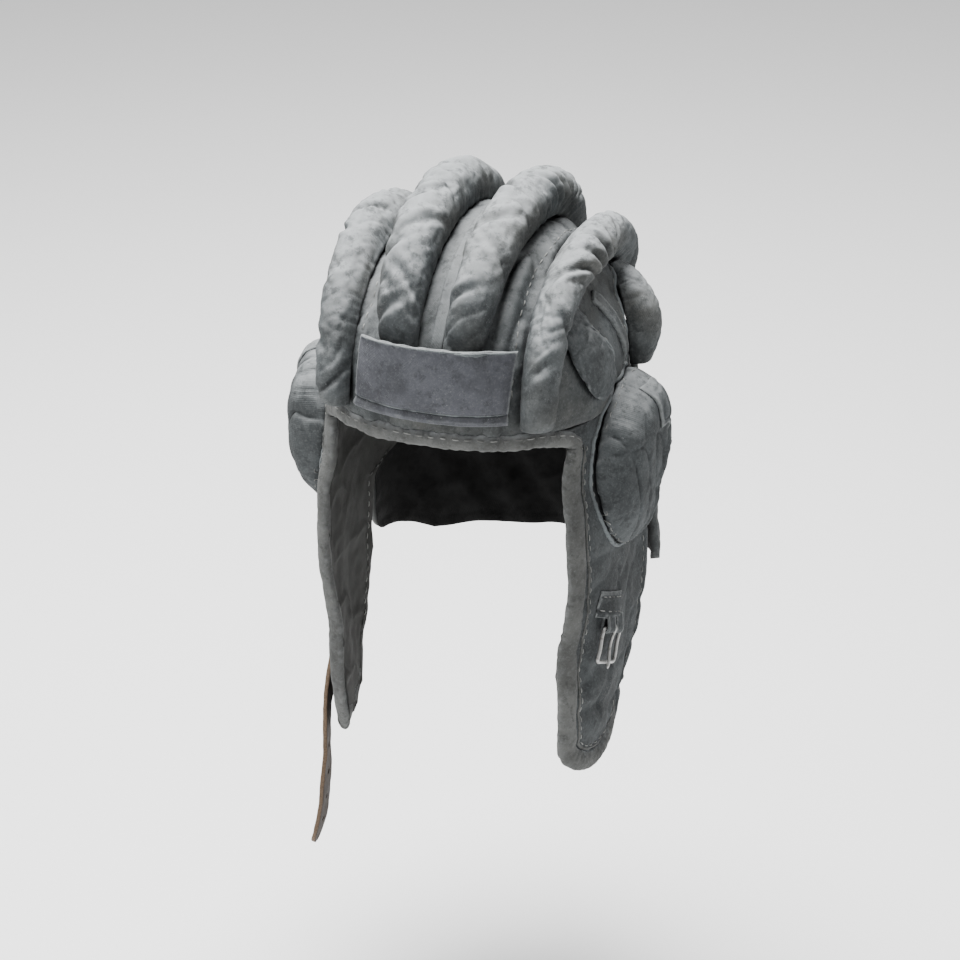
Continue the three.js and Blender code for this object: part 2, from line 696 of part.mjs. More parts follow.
// A point by the buckle, from the middle of its top bar
const LOOP_HOLE = BUCKLE_WIRE / 2 + PIN_CLEARANCE;
const BAR_OUT = LAY_GAP + LOOP_WALL + LOOP_HOLE;
const barMiddle = buckleSeat
  .clone()
  .addScaledVector(buckleDown, -BUCKLE_HEIGHT / 2)
  .addScaledVector(buckleOut, BAR_OUT);
const nearBuckle = (across, down, out) =>
  barMiddle
    .clone()
    .addScaledVector(buckleAcross, across)
    .addScaledVector(buckleDown, down)
    .addScaledVector(buckleOut, out);

// The wire frame is one closed rectangle with round corners; its top bar turns in the loop
function buckleFrame() {
  const half = BUCKLE_WIDTH / 2 - BUCKLE_WIRE / 2;
  const low = BUCKLE_HEIGHT - BUCKLE_WIRE;
  const corners = [
    { across: half - BUCKLE_CORNER, down: BUCKLE_CORNER, from: -90 },
    { across: half - BUCKLE_CORNER, down: low - BUCKLE_CORNER, from: 0 },
    { across: BUCKLE_CORNER - half, down: low - BUCKLE_CORNER, from: 90 },
    { across: BUCKLE_CORNER - half, down: BUCKLE_CORNER, from: 180 },
  ];
  const turns = [0, 30, 60, 90];
  const sides = 8;
  const points = corners.flatMap(({ across, down, from }) =>
    turns.map((turn) => {
      const angle = radians(from + turn);
      const aside = BUCKLE_CORNER * Math.cos(angle);
      return nearBuckle(across + aside, down + BUCKLE_CORNER * Math.sin(angle), 0);
    }),
  );
  const count = points.length;
  const rings = points.map((p, k) => {
    const before = points[(k + count - 1) % count];
    const along = points[(k + 1) % count].clone().sub(before).normalize();
    const turnIn = p.clone().sub(before).normalize();
    const aside = new THREE.Vector3().crossVectors(along, buckleOut).normalize();
    const stretch = 1 / turnIn.dot(along);
    return Array.from({ length: sides }, (unused, j) => {
      const angle = (2 * Math.PI * (j + 0.5)) / sides;
      return p
        .clone()
        .addScaledVector(aside, (BUCKLE_WIRE / 2) * stretch * Math.cos(angle))
        .addScaledVector(buckleOut, (BUCKLE_WIRE / 2) * Math.sin(angle));
    });
  });
  const place = (i, j) => (i % count) * sides + (j % sides);
  return closedGeometry(rings.flat(), gridFaces(count, sides, place));
}

// The tongue: an eye round the top bar, then a straight pin that rests across the lower bar
function buckleTongue() {
  const pin = (BUCKLE_WIRE / 2) * TONGUE_SHARE;
  const eye = LOOP_HOLE + pin;
  const rest = BUCKLE_WIRE / 2 + pin + SEAM_GAP;
  const sides = 8;
  const points = [300, 277, 254, 231, 208, 185, 162, 139, 116, 93, 70].map((turn) => ({
    down: eye * Math.cos(radians(turn)),
    out: eye * Math.sin(radians(turn)),
  }));
  points.push({ down: BUCKLE_HEIGHT * 0.3, out: rest * 1.2 });
  points.push({ down: BUCKLE_HEIGHT * 0.6, out: rest * 1.1 });
  points.push({ down: BUCKLE_HEIGHT - BUCKLE_WIRE, out: rest });
  points.push({ down: BUCKLE_HEIGHT + TONGUE_OVERHANG, out: rest * 0.8 });
  const line = points.map(({ down, out }) => nearBuckle(0, down, out));
  const rings = line.map((p, k) => {
    const before = line[Math.max(k - 1, 0)];
    const along = line[Math.min(k + 1, line.length - 1)].clone().sub(before).normalize();
    const up = new THREE.Vector3().crossVectors(buckleAcross, along).normalize();
    return Array.from({ length: sides }, (unused, j) => {
      const angle = (2 * Math.PI * (j + 0.5)) / sides;
      return p
        .clone()
        .addScaledVector(buckleAcross, pin * Math.cos(angle))
        .addScaledVector(up, pin * Math.sin(angle));
    });
  });
  return sweptGeometry(rings);
}

const wasm = await Module();
wasm.setup();

function solidOf(geometry) {
  const bare = geometry.clone();
  bare.deleteAttribute("normal");
  const merged = mergeVertices(bare, 1e-3);
  const vertProperties = merged.attributes.position.array;
  const triVerts = new Uint32Array(merged.index.array);
  return new wasm.Manifold(new wasm.Mesh({ numProp: 3, vertProperties, triVerts }));
}

function geometryOf(solid) {
  const { vertProperties, triVerts } = solid.getMesh();
  const geometry = new THREE.BufferGeometry();
  geometry.setAttribute("position", new THREE.BufferAttribute(vertProperties, 3));
  geometry.setIndex(new THREE.BufferAttribute(triVerts, 1));
  geometry.computeVertexNormals();
  return geometry;
}

// The cloth loop wraps the frame's top bar, and its two plies go up to the patch, with a slot
// cut through its bend, a little way up its under ply and further up its outer ply, where the
// tongue swings
function buckleLoop() {
  const outer = LOOP_HOLE + LOOP_WALL;
  const slit = SEAM_GAP / 2;
  const low = -outer;
  const tail = LOOP_TAIL;
  const ply = low + LOOP_WALL;
  const outline = [[-tail, ply + 2 * slit + LOOP_WALL], [-outer, outer]];
  for (let turn = 60; turn >= -90; turn -= 30) {
    outline.push([outer * Math.cos(radians(turn)), outer * Math.sin(radians(turn))]);
  }
  outline.push([-tail, low], [-tail, ply], [-outer, ply]);
  for (let turn = -150; turn <= 150; turn += 30) {
    outline.push([LOOP_HOLE * Math.cos(radians(turn)), LOOP_HOLE * Math.sin(radians(turn))]);
  }
  outline.push([-outer, ply + 2 * slit], [-tail, ply + 2 * slit]);
  const band = solidOf(outlineAcross(outline, LOOP_WIDTH / 2));
  const reach = outer * 1.2;
  const deep = ply + slit;
  const slot = [
    [-LOOP_UNDER_SLIT, -reach],
    [reach, -reach],
    [reach, reach],
    [-LOOP_SLIT, reach],
    [-LOOP_SLIT, deep],
    [-LOOP_UNDER_SLIT, deep],
  ];
  return geometryOf(band.subtract(solidOf(outlineAcross(slot, LOOP_SLOT / 2))));
}

// A prism across the buckle whose outline is not round a middle, capped by triangulation
function outlineAcross(outline, half) {
  const flat = outline.map(([down, out]) => new THREE.Vector2(down, out));
  const caps = THREE.ShapeUtils.triangulateShape(flat, []);
  const count = outline.length;
  const points = [-half, half].flatMap((across) =>
    outline.map(([down, out]) => nearBuckle(across, down, out)),
  );
  const faces = gridFaces(1, count, (i, j) => i * count + (j % count));
  const clockwise = THREE.ShapeUtils.isClockWise(flat);
  for (const [a, b, c] of caps) {
    const [p, q, r] = clockwise ? [a, c, b] : [a, b, c];
    faces.push([p, r, q], [p + count, q + count, r + count]);
  }
  return closedGeometry(points, faces);
}

// A patch of cloth sewn on the flap above the buckle, over the ends of the loop
function bucklePatch() {
  const low = -LOOP_TAIL - LAY_GAP;
  return sheetGeometry(3, 8, (u, v, face) => {
    const flat = nearBuckle(mix(-0.5, 0.5, u) * PATCH_LENGTH, low - v * PATCH_HEIGHT, 0);
    return sideWall(flat.y, flat.z, FLAP_WALL + LAY_GAP + face * PATCH_WALL, 1);
  });
}

// The chin strap: sewn to the outside of the right flap, then hanging free to a round point
function chinStrap() {
  const line = STRAP_ROWS.map(({ along, drop, stand }) => {
    const grow = FLAP_WALL + LAY_GAP + stand * STRAP_WALL;
    return sideWall(along * RIM_FRONT, RIM_Z - drop * FLAP_DROP, grow, -1);
  });
  const steps = 26;
  const stations = stationsAlong(line, steps);
  const length = new THREE.CatmullRomCurve3(line, false, "centripetal").getLength();
  const widthOf = (t) => {
    const left = clamp(((1 - t) * length) / STRAP_POINT, 0.02, 1);
    return STRAP_WIDTH * Math.sqrt(1 - (1 - left) ** 2);
  };
  return stripGeometry(stations, widthOf, STRAP_WALL);
}

const helmet = new THREE.Group();
helmet.add(named("crown_shell", crownShell(), COLOURS.pale));
for (const [side, hand] of [[1, "left"], [-1, "right"]]) {
  helmet.add(named("side_flap_" + hand, sideFlap(side), COLOURS.cloth));
  const inner = crownRoll(INNER_ROLL_ROWS, side, INNER_ROLL_WIDTH, INNER_ROLL_HEIGHT);
  const outer = crownRoll(OUTER_ROLL_ROWS, side, OUTER_ROLL_WIDTH, OUTER_ROLL_HEIGHT);
  helmet.add(named("inner_roll_" + hand, inner, COLOURS.cloth));
  helmet.add(named("outer_roll_" + hand, outer, COLOURS.cloth));
  helmet.add(named("temple_roll_" + hand, sideRoll(TEMPLE_ROLL_ROWS, side), COLOURS.cloth));
  helmet.add(named("rear_roll_" + hand, sideRoll(REAR_ROLL_ROWS, side), COLOURS.cloth));
  helmet.add(named("side_tape_" + hand, sideTape(side), COLOURS.pale));
  helmet.add(named("ear_pad_" + hand, earPad(side), COLOURS.cloth));
  helmet.add(named("ear_cover_" + hand, earCover(side), COLOURS.pale));
}
helmet.add(named("nape_flap", napeFlap(), COLOURS.dark));
helmet.add(named("face_binding", faceBinding(), COLOURS.binding));
helmet.add(named("forehead_panel", foreheadPanel(), COLOURS.panel));
helmet.add(named("crown_tape", crownTape(), COLOURS.pale));
helmet.add(named("buckle_patch", bucklePatch(), COLOURS.cloth));
helmet.add(named("buckle_loop", buckleLoop(), COLOURS.cloth));
helmet.add(named("chin_strap", chinStrap(), COLOURS.leather, 0.7));
helmet.add(named("buckle_frame", buckleFrame(), COLOURS.wire, 0.35, 1));
helmet.add(named("buckle_tongue", buckleTongue(), COLOURS.wire, 0.35, 1));

export default helmet;
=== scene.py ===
"""A worn padded cloth crew helmet: its cloth, wadding, stitching, leather and wire."""

import itertools
import json
import math

import bpy
import numpy as np
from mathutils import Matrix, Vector
from mathutils.bvhtree import BVHTree
from numpy import arange, array, asarray, clip, concatenate, cos, linspace, maximum, minimum, sin, where
from numpy.linalg import norm


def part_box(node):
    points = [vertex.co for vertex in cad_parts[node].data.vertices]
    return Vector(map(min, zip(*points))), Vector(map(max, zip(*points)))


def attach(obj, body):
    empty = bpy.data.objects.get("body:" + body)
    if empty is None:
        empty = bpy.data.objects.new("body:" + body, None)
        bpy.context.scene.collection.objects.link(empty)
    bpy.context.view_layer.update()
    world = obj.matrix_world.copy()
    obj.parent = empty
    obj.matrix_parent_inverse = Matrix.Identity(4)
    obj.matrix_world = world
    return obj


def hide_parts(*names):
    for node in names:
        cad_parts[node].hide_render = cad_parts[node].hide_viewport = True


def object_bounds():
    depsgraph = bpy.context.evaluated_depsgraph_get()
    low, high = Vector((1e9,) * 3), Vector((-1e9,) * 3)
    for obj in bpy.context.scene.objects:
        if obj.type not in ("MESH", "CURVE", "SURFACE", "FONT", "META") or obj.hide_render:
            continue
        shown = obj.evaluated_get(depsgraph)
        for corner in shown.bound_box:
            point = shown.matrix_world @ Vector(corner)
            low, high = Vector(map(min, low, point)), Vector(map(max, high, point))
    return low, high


bl_info = {
    "name": "Padded Cloth Helmet",
    "version": (1, 0, 0),
    "blender": (4, 5, 0),
    "location": "View3D > Sidebar > Helmet",
    "description": "Dresses a padded cloth crew helmet in worn cotton, leather and wire",
    "category": "Object",
}

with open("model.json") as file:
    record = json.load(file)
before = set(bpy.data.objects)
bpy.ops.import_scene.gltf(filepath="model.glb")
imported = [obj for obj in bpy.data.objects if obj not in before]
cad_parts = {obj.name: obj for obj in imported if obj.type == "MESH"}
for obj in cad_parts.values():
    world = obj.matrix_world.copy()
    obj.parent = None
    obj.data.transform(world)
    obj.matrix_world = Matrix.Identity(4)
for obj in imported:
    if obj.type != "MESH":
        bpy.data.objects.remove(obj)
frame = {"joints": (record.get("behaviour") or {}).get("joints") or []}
CAD_LOW, CAD_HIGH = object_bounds()
SHELL_LOW, SHELL_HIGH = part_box("crown_shell")
BUCKLE_JOINT = next(j for j in frame["joints"] if j["child"] == "buckle")

# Real thicknesses of the cloth, in metres, that the defaults below are worked out with
CLOTH_WALL = 0.004
# Rays for the painted shade and dirt in hollows: how far they reach and how far off the cloth they start
HOLLOW_REACH = 0.016
HOLLOW_LIFT = 0.0004
SIDES = ((1, "left"), (-1, "right"))


def fields(rows, make, **settings):
    """Properties from rows of a key with its description and default."""
    return {
        key: make(name=key.replace("_", " ").capitalize(), description=words, default=value, **settings)
        for key, (words, value) in rows.items()
    }


def lengths(**rows):
    """Sizes in metres."""
    return fields(rows, bpy.props.FloatProperty, unit="LENGTH", precision=5)


def numbers(**rows):
    """Plain numbers."""
    return fields(rows, bpy.props.FloatProperty)


def tints(**rows):
    """Colours in linear light."""
    return fields(rows, bpy.props.FloatVectorProperty, subtype="COLOR", size=3, min=0, max=1)


class HelmetForm(bpy.types.PropertyGroup):
    """The head form that the cloth follows, and the flaps that hang from it."""

    __annotations__ = lengths(
        crown_height=("From the hollow's top to the rim", -SHELL_LOW.z),
        half_width=("Half of the rim's inner width", SHELL_HIGH.x - CLOTH_WALL),
        reach=("The rim's inner reach to front and back", SHELL_HIGH.y - CLOTH_WALL),
        shell_wall=("Thickness of the crown's quilted cloth", CLOTH_WALL),
        lay_gap=("Gap between layers of cloth", 0.0008),
        flap_drop=("From the rim to the end of the side flaps", 0.238),
        flap_end=("Height of the round end of a side flap", 0.033),
        flap_wall=("Thickness of the side flaps", CLOTH_WALL),
        flap_lean=("How far the right flap's front leans in", 0.008),
        nape_drop=("From the rim to the end of the nape flap", 0.15),
        nape_lap=("The nape flap's lap over the crown", 0.009),
        nape_side=("Where the nape flap's sides lie", 0.057),
        nape_corner=("Radius of the nape flap's corners", 0.026),
        nape_wall=("Thickness of the nape flap", CLOTH_WALL),
    )


class HelmetPadding(bpy.types.PropertyGroup):
    """The stuffed rolls and the ear pads."""

    __annotations__ = {
        **lengths(
            inner_width=("Width of the two middle rolls", 0.031),
            inner_height=("Height of the two middle rolls", 0.029),
            outer_width=("Width of the two outer rolls", 0.027),
            outer_height=("Height of the two outer rolls", 0.027),
            side_width=("Width of the short side rolls", 0.024),
            side_height=("Height of the short side rolls", 0.015),
            pad_along=("The ear pads' middle, behind the ears", 0.002),
            pad_drop=("The ear pads' middle, below the rim", 0.042),
            pad_half_length=("Half of an ear pad's length", 0.05),
            pad_half_height=("Half of an ear pad's height", 0.054),
            left_depth=("The left ear pad's depth", 0.019),
            right_depth=("The right ear pad's depth", 0.027),
            pad_welt=("Height of an ear pad's sewn edge", 0.003),
            voxel=("Grain of the ear pads' mesh when it is filled", 0.0045),
            travel=("How far the filling may push a point", 0.006),
        ),
        **numbers(pressure=("Pressure that fills the ear pads", 4)),
    }


class HelmetTrim(bpy.types.PropertyGroup):
    """The sewn trim, the forehead panel, the chin strap and the buckle."""

    __annotations__ = lengths(
        binding_width=("Width of the tube round the face opening", 0.01),
        binding_thick=("Thickness of that tube", 0.008),
        hem=("Width of the turned and stitched edges", 0.0055),
        stitch=("Length of one stitch", 0.0042),
        stitch_gap=("Gap between two stitches", 0.0026),
        thread=("Thickness of the sewing thread", 0.0008),
        cord=("Thickness of the raised seam edges", 0.0014),
        panel_wall=("Thickness of the forehead panel", 0.0022),
        panel_stand=("Stand of the panel's upper edge", 0.015),
        tape_width=("Width of the flat tapes over the seams", 0.008),
        tape_wall=("Thickness of the tapes", 0.0015),
        strap_width=("Width of the chin strap", 0.017),
        strap_wall=("Thickness of the chin strap", 0.0028),
        strap_point=("Length of the strap's round point", 0.016),
        hole=("Width of a buckle hole in the strap", 0.0036),
        hole_pitch=("Distance between two holes", 0.019),
        buckle_width=("Outer width of the wire frame", 0.027),
        buckle_height=("Outer height of the wire frame", 0.023),
        wire=("Thickness of the buckle's wire", 0.0022),
        buckle_corner=("Radius of the wire's bends", 0.0026),
        loop_width=("Width of the buckle's cloth loop", 0.021),
        patch_length=("Length of the patch over the loop's ends", 0.039),
        patch_height=("Height of that patch", 0.013),
    )


class HelmetColours(bpy.types.PropertyGroup):
    """Colours of the worn cloth, the leather and the wire."""

    __annotations__ = tints(
        cotton=("Grey cotton on the shaded sides", (0.072, 0.08, 0.083)),
        cotton_warm=("Where the dye has turned brownish", (0.09, 0.091, 0.085)),
        # The faded tone is partly sun-fading and partly painted top light: the tops are paler because light
        # falls on them
        faded=("Cotton bleached by light on the tops", (0.225, 0.236, 0.24)),
        rubbed=("Pale scuffs and rubbed edges", (0.36, 0.38, 0.38)),
        # The grime tone is dirt and painted shade: it darkens creases, seams and hollows where shade falls
        grime=("Dirt in creases and seams", (0.014, 0.016, 0.017)),
        # The lining tone is near-black painted shade on the inside of the crown, nape and panel
        lining=("Dark cloth on the inside", (0.0025, 0.0025, 0.0025)),
        flap_lining=("Grey inside of the side flaps", (0.032, 0.032, 0.03)),
        panel=("Slate cloth of the forehead panel", (0.078, 0.081, 0.093)),
        binding=("Cloth of the padded tube", (0.098, 0.1, 0.096)),
        thread=("Pale sewing thread", (0.24, 0.245, 0.235)),
        leather=("Dark face of the chin strap", (0.038, 0.03, 0.025)),
        leather_edge=("Tan cut edges of the strap", (0.13, 0.09, 0.06)),
        wire=("Dulled steel wire", (0.42, 0.42, 0.41)),
    )


class HelmetStage(bpy.types.PropertyGroup):
    """The floor, the lights and the camera."""

    __annotations__ = {
        **lengths(
            distance=("From the camera to its target", 1.515),
            floor_gap=("From the strap's end down to the floor", 0.14),
        ),
        **numbers(
            azimuth=("Degrees towards the helmet's left", 18),
            elevation=("Degrees above the horizon", 25.8),
            lens=("Focal length in millimetres", 93.75),
            rise=("Shift of the picture, as a share of its side", -0.03125),
            sky=("Strength of the light from all round", 0.58),
            top_light=("Power of the light above, in watts", 110),
            side_light=("Power of the light at the left, in watts", 9),
        ),
    }


GROUPS = {
    "helmet_form": HelmetForm,
    "helmet_padding": HelmetPadding,
    "helmet_trim": HelmetTrim,
    "helmet_colours": HelmetColours,
    "helmet_stage": HelmetStage,
}


def mm(metres):
    """Lengths below this line are worked out in millimetres."""
    return 1000 * metres


def table(columns, *rows):
    """A short table as one array for each named column."""
    return dict(zip(columns.split(), array(rows, float).T))


# The plan of the head form below the rim, as shares of the rim's own sizes
PLAN = table(
    "drop width front back square_front square_back",
    (0, 1, 1, 1, 2.3, 2.3), (0.15, 1.025, 1, 1, 2.5, 2.6), (0.25, 1.06, 1.01, 1, 2.8, 3.2),
    (0.44, 1.073, 1, 1, 3, 5), (0.625, 1.073, 0.91, 0.95, 3, 6), (0.785, 1.05, 0.97, 0.93, 3, 6),
    (1, 1.02, 0.88, 0.9, 3, 6),
)
CROWN_FULLNESS = 2.3

# The outline of a side flap seen from the side, as shares of its drop and of the rim's reach
FLAP = table(
    "drop front rear",
    (0, 0.61, 0.79), (0.042, 0.64, 0.79), (0.147, 0.7, 0.79), (0.252, 0.742, 0.79), (0.38, 0.75, 0.775),
    (0.425, 0.753, 0.5), (0.5, 0.757, 0.52), (0.625, 0.763, 0.47), (0.785, 0.77, 0.24), (0.86, 0.75, 0.12),
)

# The long rolls: turn from straight ahead to straight back, across as a share of the half width
INNER_ROLL = table(
    "turn across width height",
    (-70, 0.21, 0.72, 0.2), (-60, 0.22, 0.76, 0.3), (-52, 0.23, 0.84, 0.62), (-42, 0.24, 0.9, 0.84),
    (-20, 0.255, 0.97, 0.96), (10, 0.27, 1, 1), (40, 0.27, 1, 0.98), (62, 0.25, 0.94, 0.8),
    (80, 0.23, 0.8, 0.35), (87, 0.22, 0.72, 0.03),
)
OUTER_ROLL = table(
    "turn across width height",
    (-83, 0.69, 0.76, 0.5), (-79, 0.69, 0.78, 0.62), (-60, 0.685, 0.84, 0.72), (-30, 0.69, 0.93, 0.9),
    (0, 0.7, 1, 1), (30, 0.7, 1, 1), (56, 0.68, 0.96, 0.8), (78, 0.63, 0.8, 0.35), (86, 0.61, 0.72, 0.03),
)

# How much narrower the wadding stands than the sewn roll
INNER_SQUEEZE = 0.98
OUTER_SQUEEZE = 0.93

# The short rolls and tapes on the side of the crown, as shares of the reach and crown height
TEMPLE_ROLL = table(
    "along down width height",
    (-0.44, 0.3, 0.6, 0.35), (-0.46, 0.42, 1, 0.45), (-0.44, 0.56, 1.3, 0.52), (-0.37, 0.7, 1.35, 0.52),
    (-0.28, 0.84, 0.9, 0.4),
)
REAR_ROLL = table(
    "along down width height",
    (0.45, 0.36, 0.6, 0.5), (0.42, 0.46, 0.9, 1.15), (0.37, 0.57, 1.05, 1.5), (0.35, 0.74, 1.05, 1.35),
    (0.34, 0.93, 0.85, 0.9),
)
SIDE_TAPE = table(
    "along down",
    (-0.14, 0.33), (-0.07, 0.44), (0, 0.57), (0.06, 0.7), (0.08, 0.83),
)

# The chin strap: stand is how far it lies off the flap, in strap thicknesses
STRAP = table(
    "along drop stand",
    (-0.02, 0.546, 0), (-0.05, 0.643, 0), (-0.13, 0.74, 0.1), (-0.3, 0.825, 0.4), (-0.52, 0.895, 1.3),
    (-0.67, 0.985, 2.9), (-0.69, 1.113, 3.6), (-0.68, 1.24, 4.8), (-0.67, 1.315, 6.2),
)

STRAP_TWIST = math.radians(30)

# Dents and bulges of the left flap, in millimetres: where along and how far below the rim,
# their half sizes, how far they turn from level, and their depth, negative where they bulge
LEFT_FLAP_DENTS = table(
    "along down half_along half_down turn depth",
    (-58, 158, 5, 9, 20, 2.6), (-50, 168, 11, 5, -20, 2), (-45, 192, 22, 5, 18, 2.8),
    (-38, 206, 18, 9, 0, -2.2), (-42, 178, 12, 7, 0, -1.8), (-22, 176, 3, 22, 24, -1.6),
    (-28, 130, 14, 8, 10, -1.6), (-48, 122, 4, 14, 0, 1.6), (6, 150, 5, 26, 10, 1.5),
    (-5, 118, 20, 5, -14, 1.8),
)
RIGHT_FLAP_DENTS = table(
    "along down half_along half_down turn depth",
    (-52, 30, 5, 40, 3, -2.4), (-38, 40, 5, 36, 5, 2.4), (-44, 110, 4, 60, 4, -1.8),
    (-20, 90, 6, 40, -6, 1.5), (-40, 170, 12, 6, 16, 1.8), (-40, 205, 16, 6, -10, 1.6),
)

# Wrinkles of the long rolls, given one by one: share is the place along the roll, side the angle
# round it in degrees from its left foot over its top, slant in millimetres for each turn
ROLL_WRINKLE_ROWS = {
    "inner_roll_left": (
        (0.16, 60, 8, 1.6, 2.4, 55), (0.24, 130, -12, 1.8, 2.8, 60), (0.31, 70, 12, 2.2, 3, 60),
        (0.37, 120, -10, 1.8, 2.8, 60), (0.44, 50, -12, 2.2, 3.2, 50), (0.52, 140, 10, 2, 2.6, 60),
        (0.56, 150, 6, 2.6, 2.2, 60), (0.59, 150, 2, 2.8, 2.2, 60), (0.62, 150, -2, 2.8, 2.2, 60),
        (0.65, 150, -6, 2.6, 2.2, 60), (0.69, 150, -9, 2.4, 2.4, 55),
    ),
    "inner_roll_right": (
        (0.12, 60, 10, 2, 2.8, 60), (0.17, 130, -14, 1.8, 2.8, 55), (0.23, 45, 14, 2.6, 3.4, 60),
        (0.29, 120, 12, 2, 3, 60), (0.35, 60, 14, 2.4, 3, 65), (0.42, 120, -12, 2, 3.4, 60),
        (0.5, 60, 12, 1.8, 3, 60), (0.58, 120, 9, 1.6, 3, 60),
    ),
    "outer_roll_left": (
        (0.13, 60, 10, 1.2, 3, 50), (0.22, 120, -8, 1.4, 3, 50), (0.33, 60, 14, 1.6, 2.8, 50),
        (0.38, 140, 15, 2.2, 2.2, 65), (0.42, 145, 8, 3, 2.2, 75), (0.455, 150, 0, 3.6, 2.2, 80),
        (0.49, 150, -8, 3, 2.2, 75), (0.53, 150, -14, 2.4, 2.4, 65), (0.6, 60, -8, 1.6, 2.8, 60),
    ),
    "outer_roll_right": (
        (0.05, 130, 10, 2.6, 2.6, 70), (0.14, 60, -8, 1.2, 3, 50), (0.28, 110, 10, 1.4, 3, 50),
        (0.4, 60, -12, 1.8, 2.6, 55), (0.46, 120, 12, 2.2, 2.6, 60), (0.52, 60, 12, 2.4, 2.4, 65),
        (0.57, 110, 8, 2.2, 2.4, 60), (0.63, 60, -10, 1.8, 2.8, 55),
    ),
}

# The forehead panel, in millimetres: half its width, and its edges above the rim
PANEL_HALF_WIDTH = 44.0
PANEL_TOP = 52
PANEL_BOTTOM = 13

WRINKLE = "share side slant depth width reach"
ROLL_WRINKLES = {name: table(WRINKLE, *rows) for name, rows in ROLL_WRINKLE_ROWS.items()}

# The brow's edge, in millimetres above the rim, and the corners of the face opening
BROW_RISE = 1.4
BROW_DROOP = 4.5
CORNER_ANGLE = math.radians(-40)
CORNER_BLEND = math.radians(14)


def read(rows, key, at, column):
    """Values read smoothly between the rows of a table, with no overshoot."""
    x, y = rows[key], rows[column]
    rate = np.diff(y) / np.diff(x)
    same = rate[:-1] * rate[1:] > 0
    total = where(same, rate[:-1] + rate[1:], 1)
    inner = where(same, 2 * rate[:-1] * rate[1:] / total, 0)
    slope = concatenate([rate[:1], inner, rate[-1:]])
    return cubic(x, y, slope, clip(at, x[0], x[-1]))


def cubic(x, y, slope, at):
    """Values of a smooth curve through y at the places x, with the given slopes."""
    k = clip(np.searchsorted(x, at, side="right") - 1, 0, len(x) - 2)
    step = x[k + 1] - x[k]
    t = (at - x[k]) / step
    if y.ndim > 1:
        t, step = t[:, None], step[:, None]
    rise = (t**3 - 2 * t**2 + t) * slope[k] + (t**3 - t**2) * slope[k + 1]
    return (2 * t**3 - 3 * t**2 + 1) * y[k] + (3 * t**2 - 2 * t**3) * y[k + 1] + step * rise


def ease(low, high, value):
    """0 below low, 1 above high and smooth between them."""
    t = clip((value - low) / (high - low), 0, 1)
    return t * t * (3 - 2 * t)


def hump(value, width):
    """1 at zero, dying out over about twice the width."""
    return np.exp(-((value / width) ** 2))


def unit(vectors):
    return vectors / maximum(norm(vectors, axis=-1, keepdims=True), 1e-12)


def noise(points, size, seed):
    """Smooth noise from -1 to 1 whose features are about size across."""
    place = asarray(points, float) / size
    cell = np.floor(place).astype(np.int64)
    part = place - cell
    blend = part**3 * (part * (part * 6 - 15) + 10)
    total = np.zeros(place.shape[:-1])
    for corner in itertools.product((0, 1), repeat=place.shape[-1]):
        mixed = np.full(total.shape, seed * 668265263, np.int64)
        weight = np.ones(total.shape)
        for axis, (side, prime) in enumerate(zip(corner, (374761393, 2246822519, 3266489917))):
            mixed = mixed ^ ((cell[..., axis] + side) * prime)
            weight = weight * (blend[..., axis] if side else 1 - blend[..., axis])
        mixed = ((mixed ^ (mixed >> 13)) * 1274126177) & 0xFFFFFFFF
        total += weight * (((mixed ^ (mixed >> 16)) & 0xFFFF) / 32767.5 - 1)
    return total


def crumple(points, size, seed):
    """Sharp valleys between soft humps, as in creased cloth, from -1 to 0."""
    return -((1 - abs(noise(points, size, seed))) ** 4)


def joined(*parts):
    """Values side by side, as coordinates or corners of faces."""
    return np.stack(np.broadcast_arrays(*parts), axis=-1)


def travelled(line):
    """The distance along a line of points up to each of them."""
    return concatenate([[0], np.cumsum(norm(np.diff(line, axis=0), axis=1))])


def read_line(at, along, points):
    """The points of a line at other places along it."""
    return np.stack([np.interp(at, along, column) for column in points.T], axis=-1)


def circle(sides):
    """The angles of the corners of a ring."""
    return 2 * math.pi * arange(sides) / sides


def even_line(points, count):
    """count + 1 points at even distances along a line of points."""
    along = travelled(points)
    return read_line(linspace(0, along[-1], count + 1), along, points)


def smooth_line(points, count):
    """count + 1 points at even distances along a smooth line through a few points."""
    points = asarray(points, float)
    knots = np.sqrt(norm(np.diff(points, axis=0), axis=1))
    knots = concatenate([[0], np.cumsum(knots)])
    slope = np.gradient(points, knots, axis=0)
    at = linspace(0, knots[-1], 24 * len(points))
    return even_line(cubic(knots, points, slope, at), count)


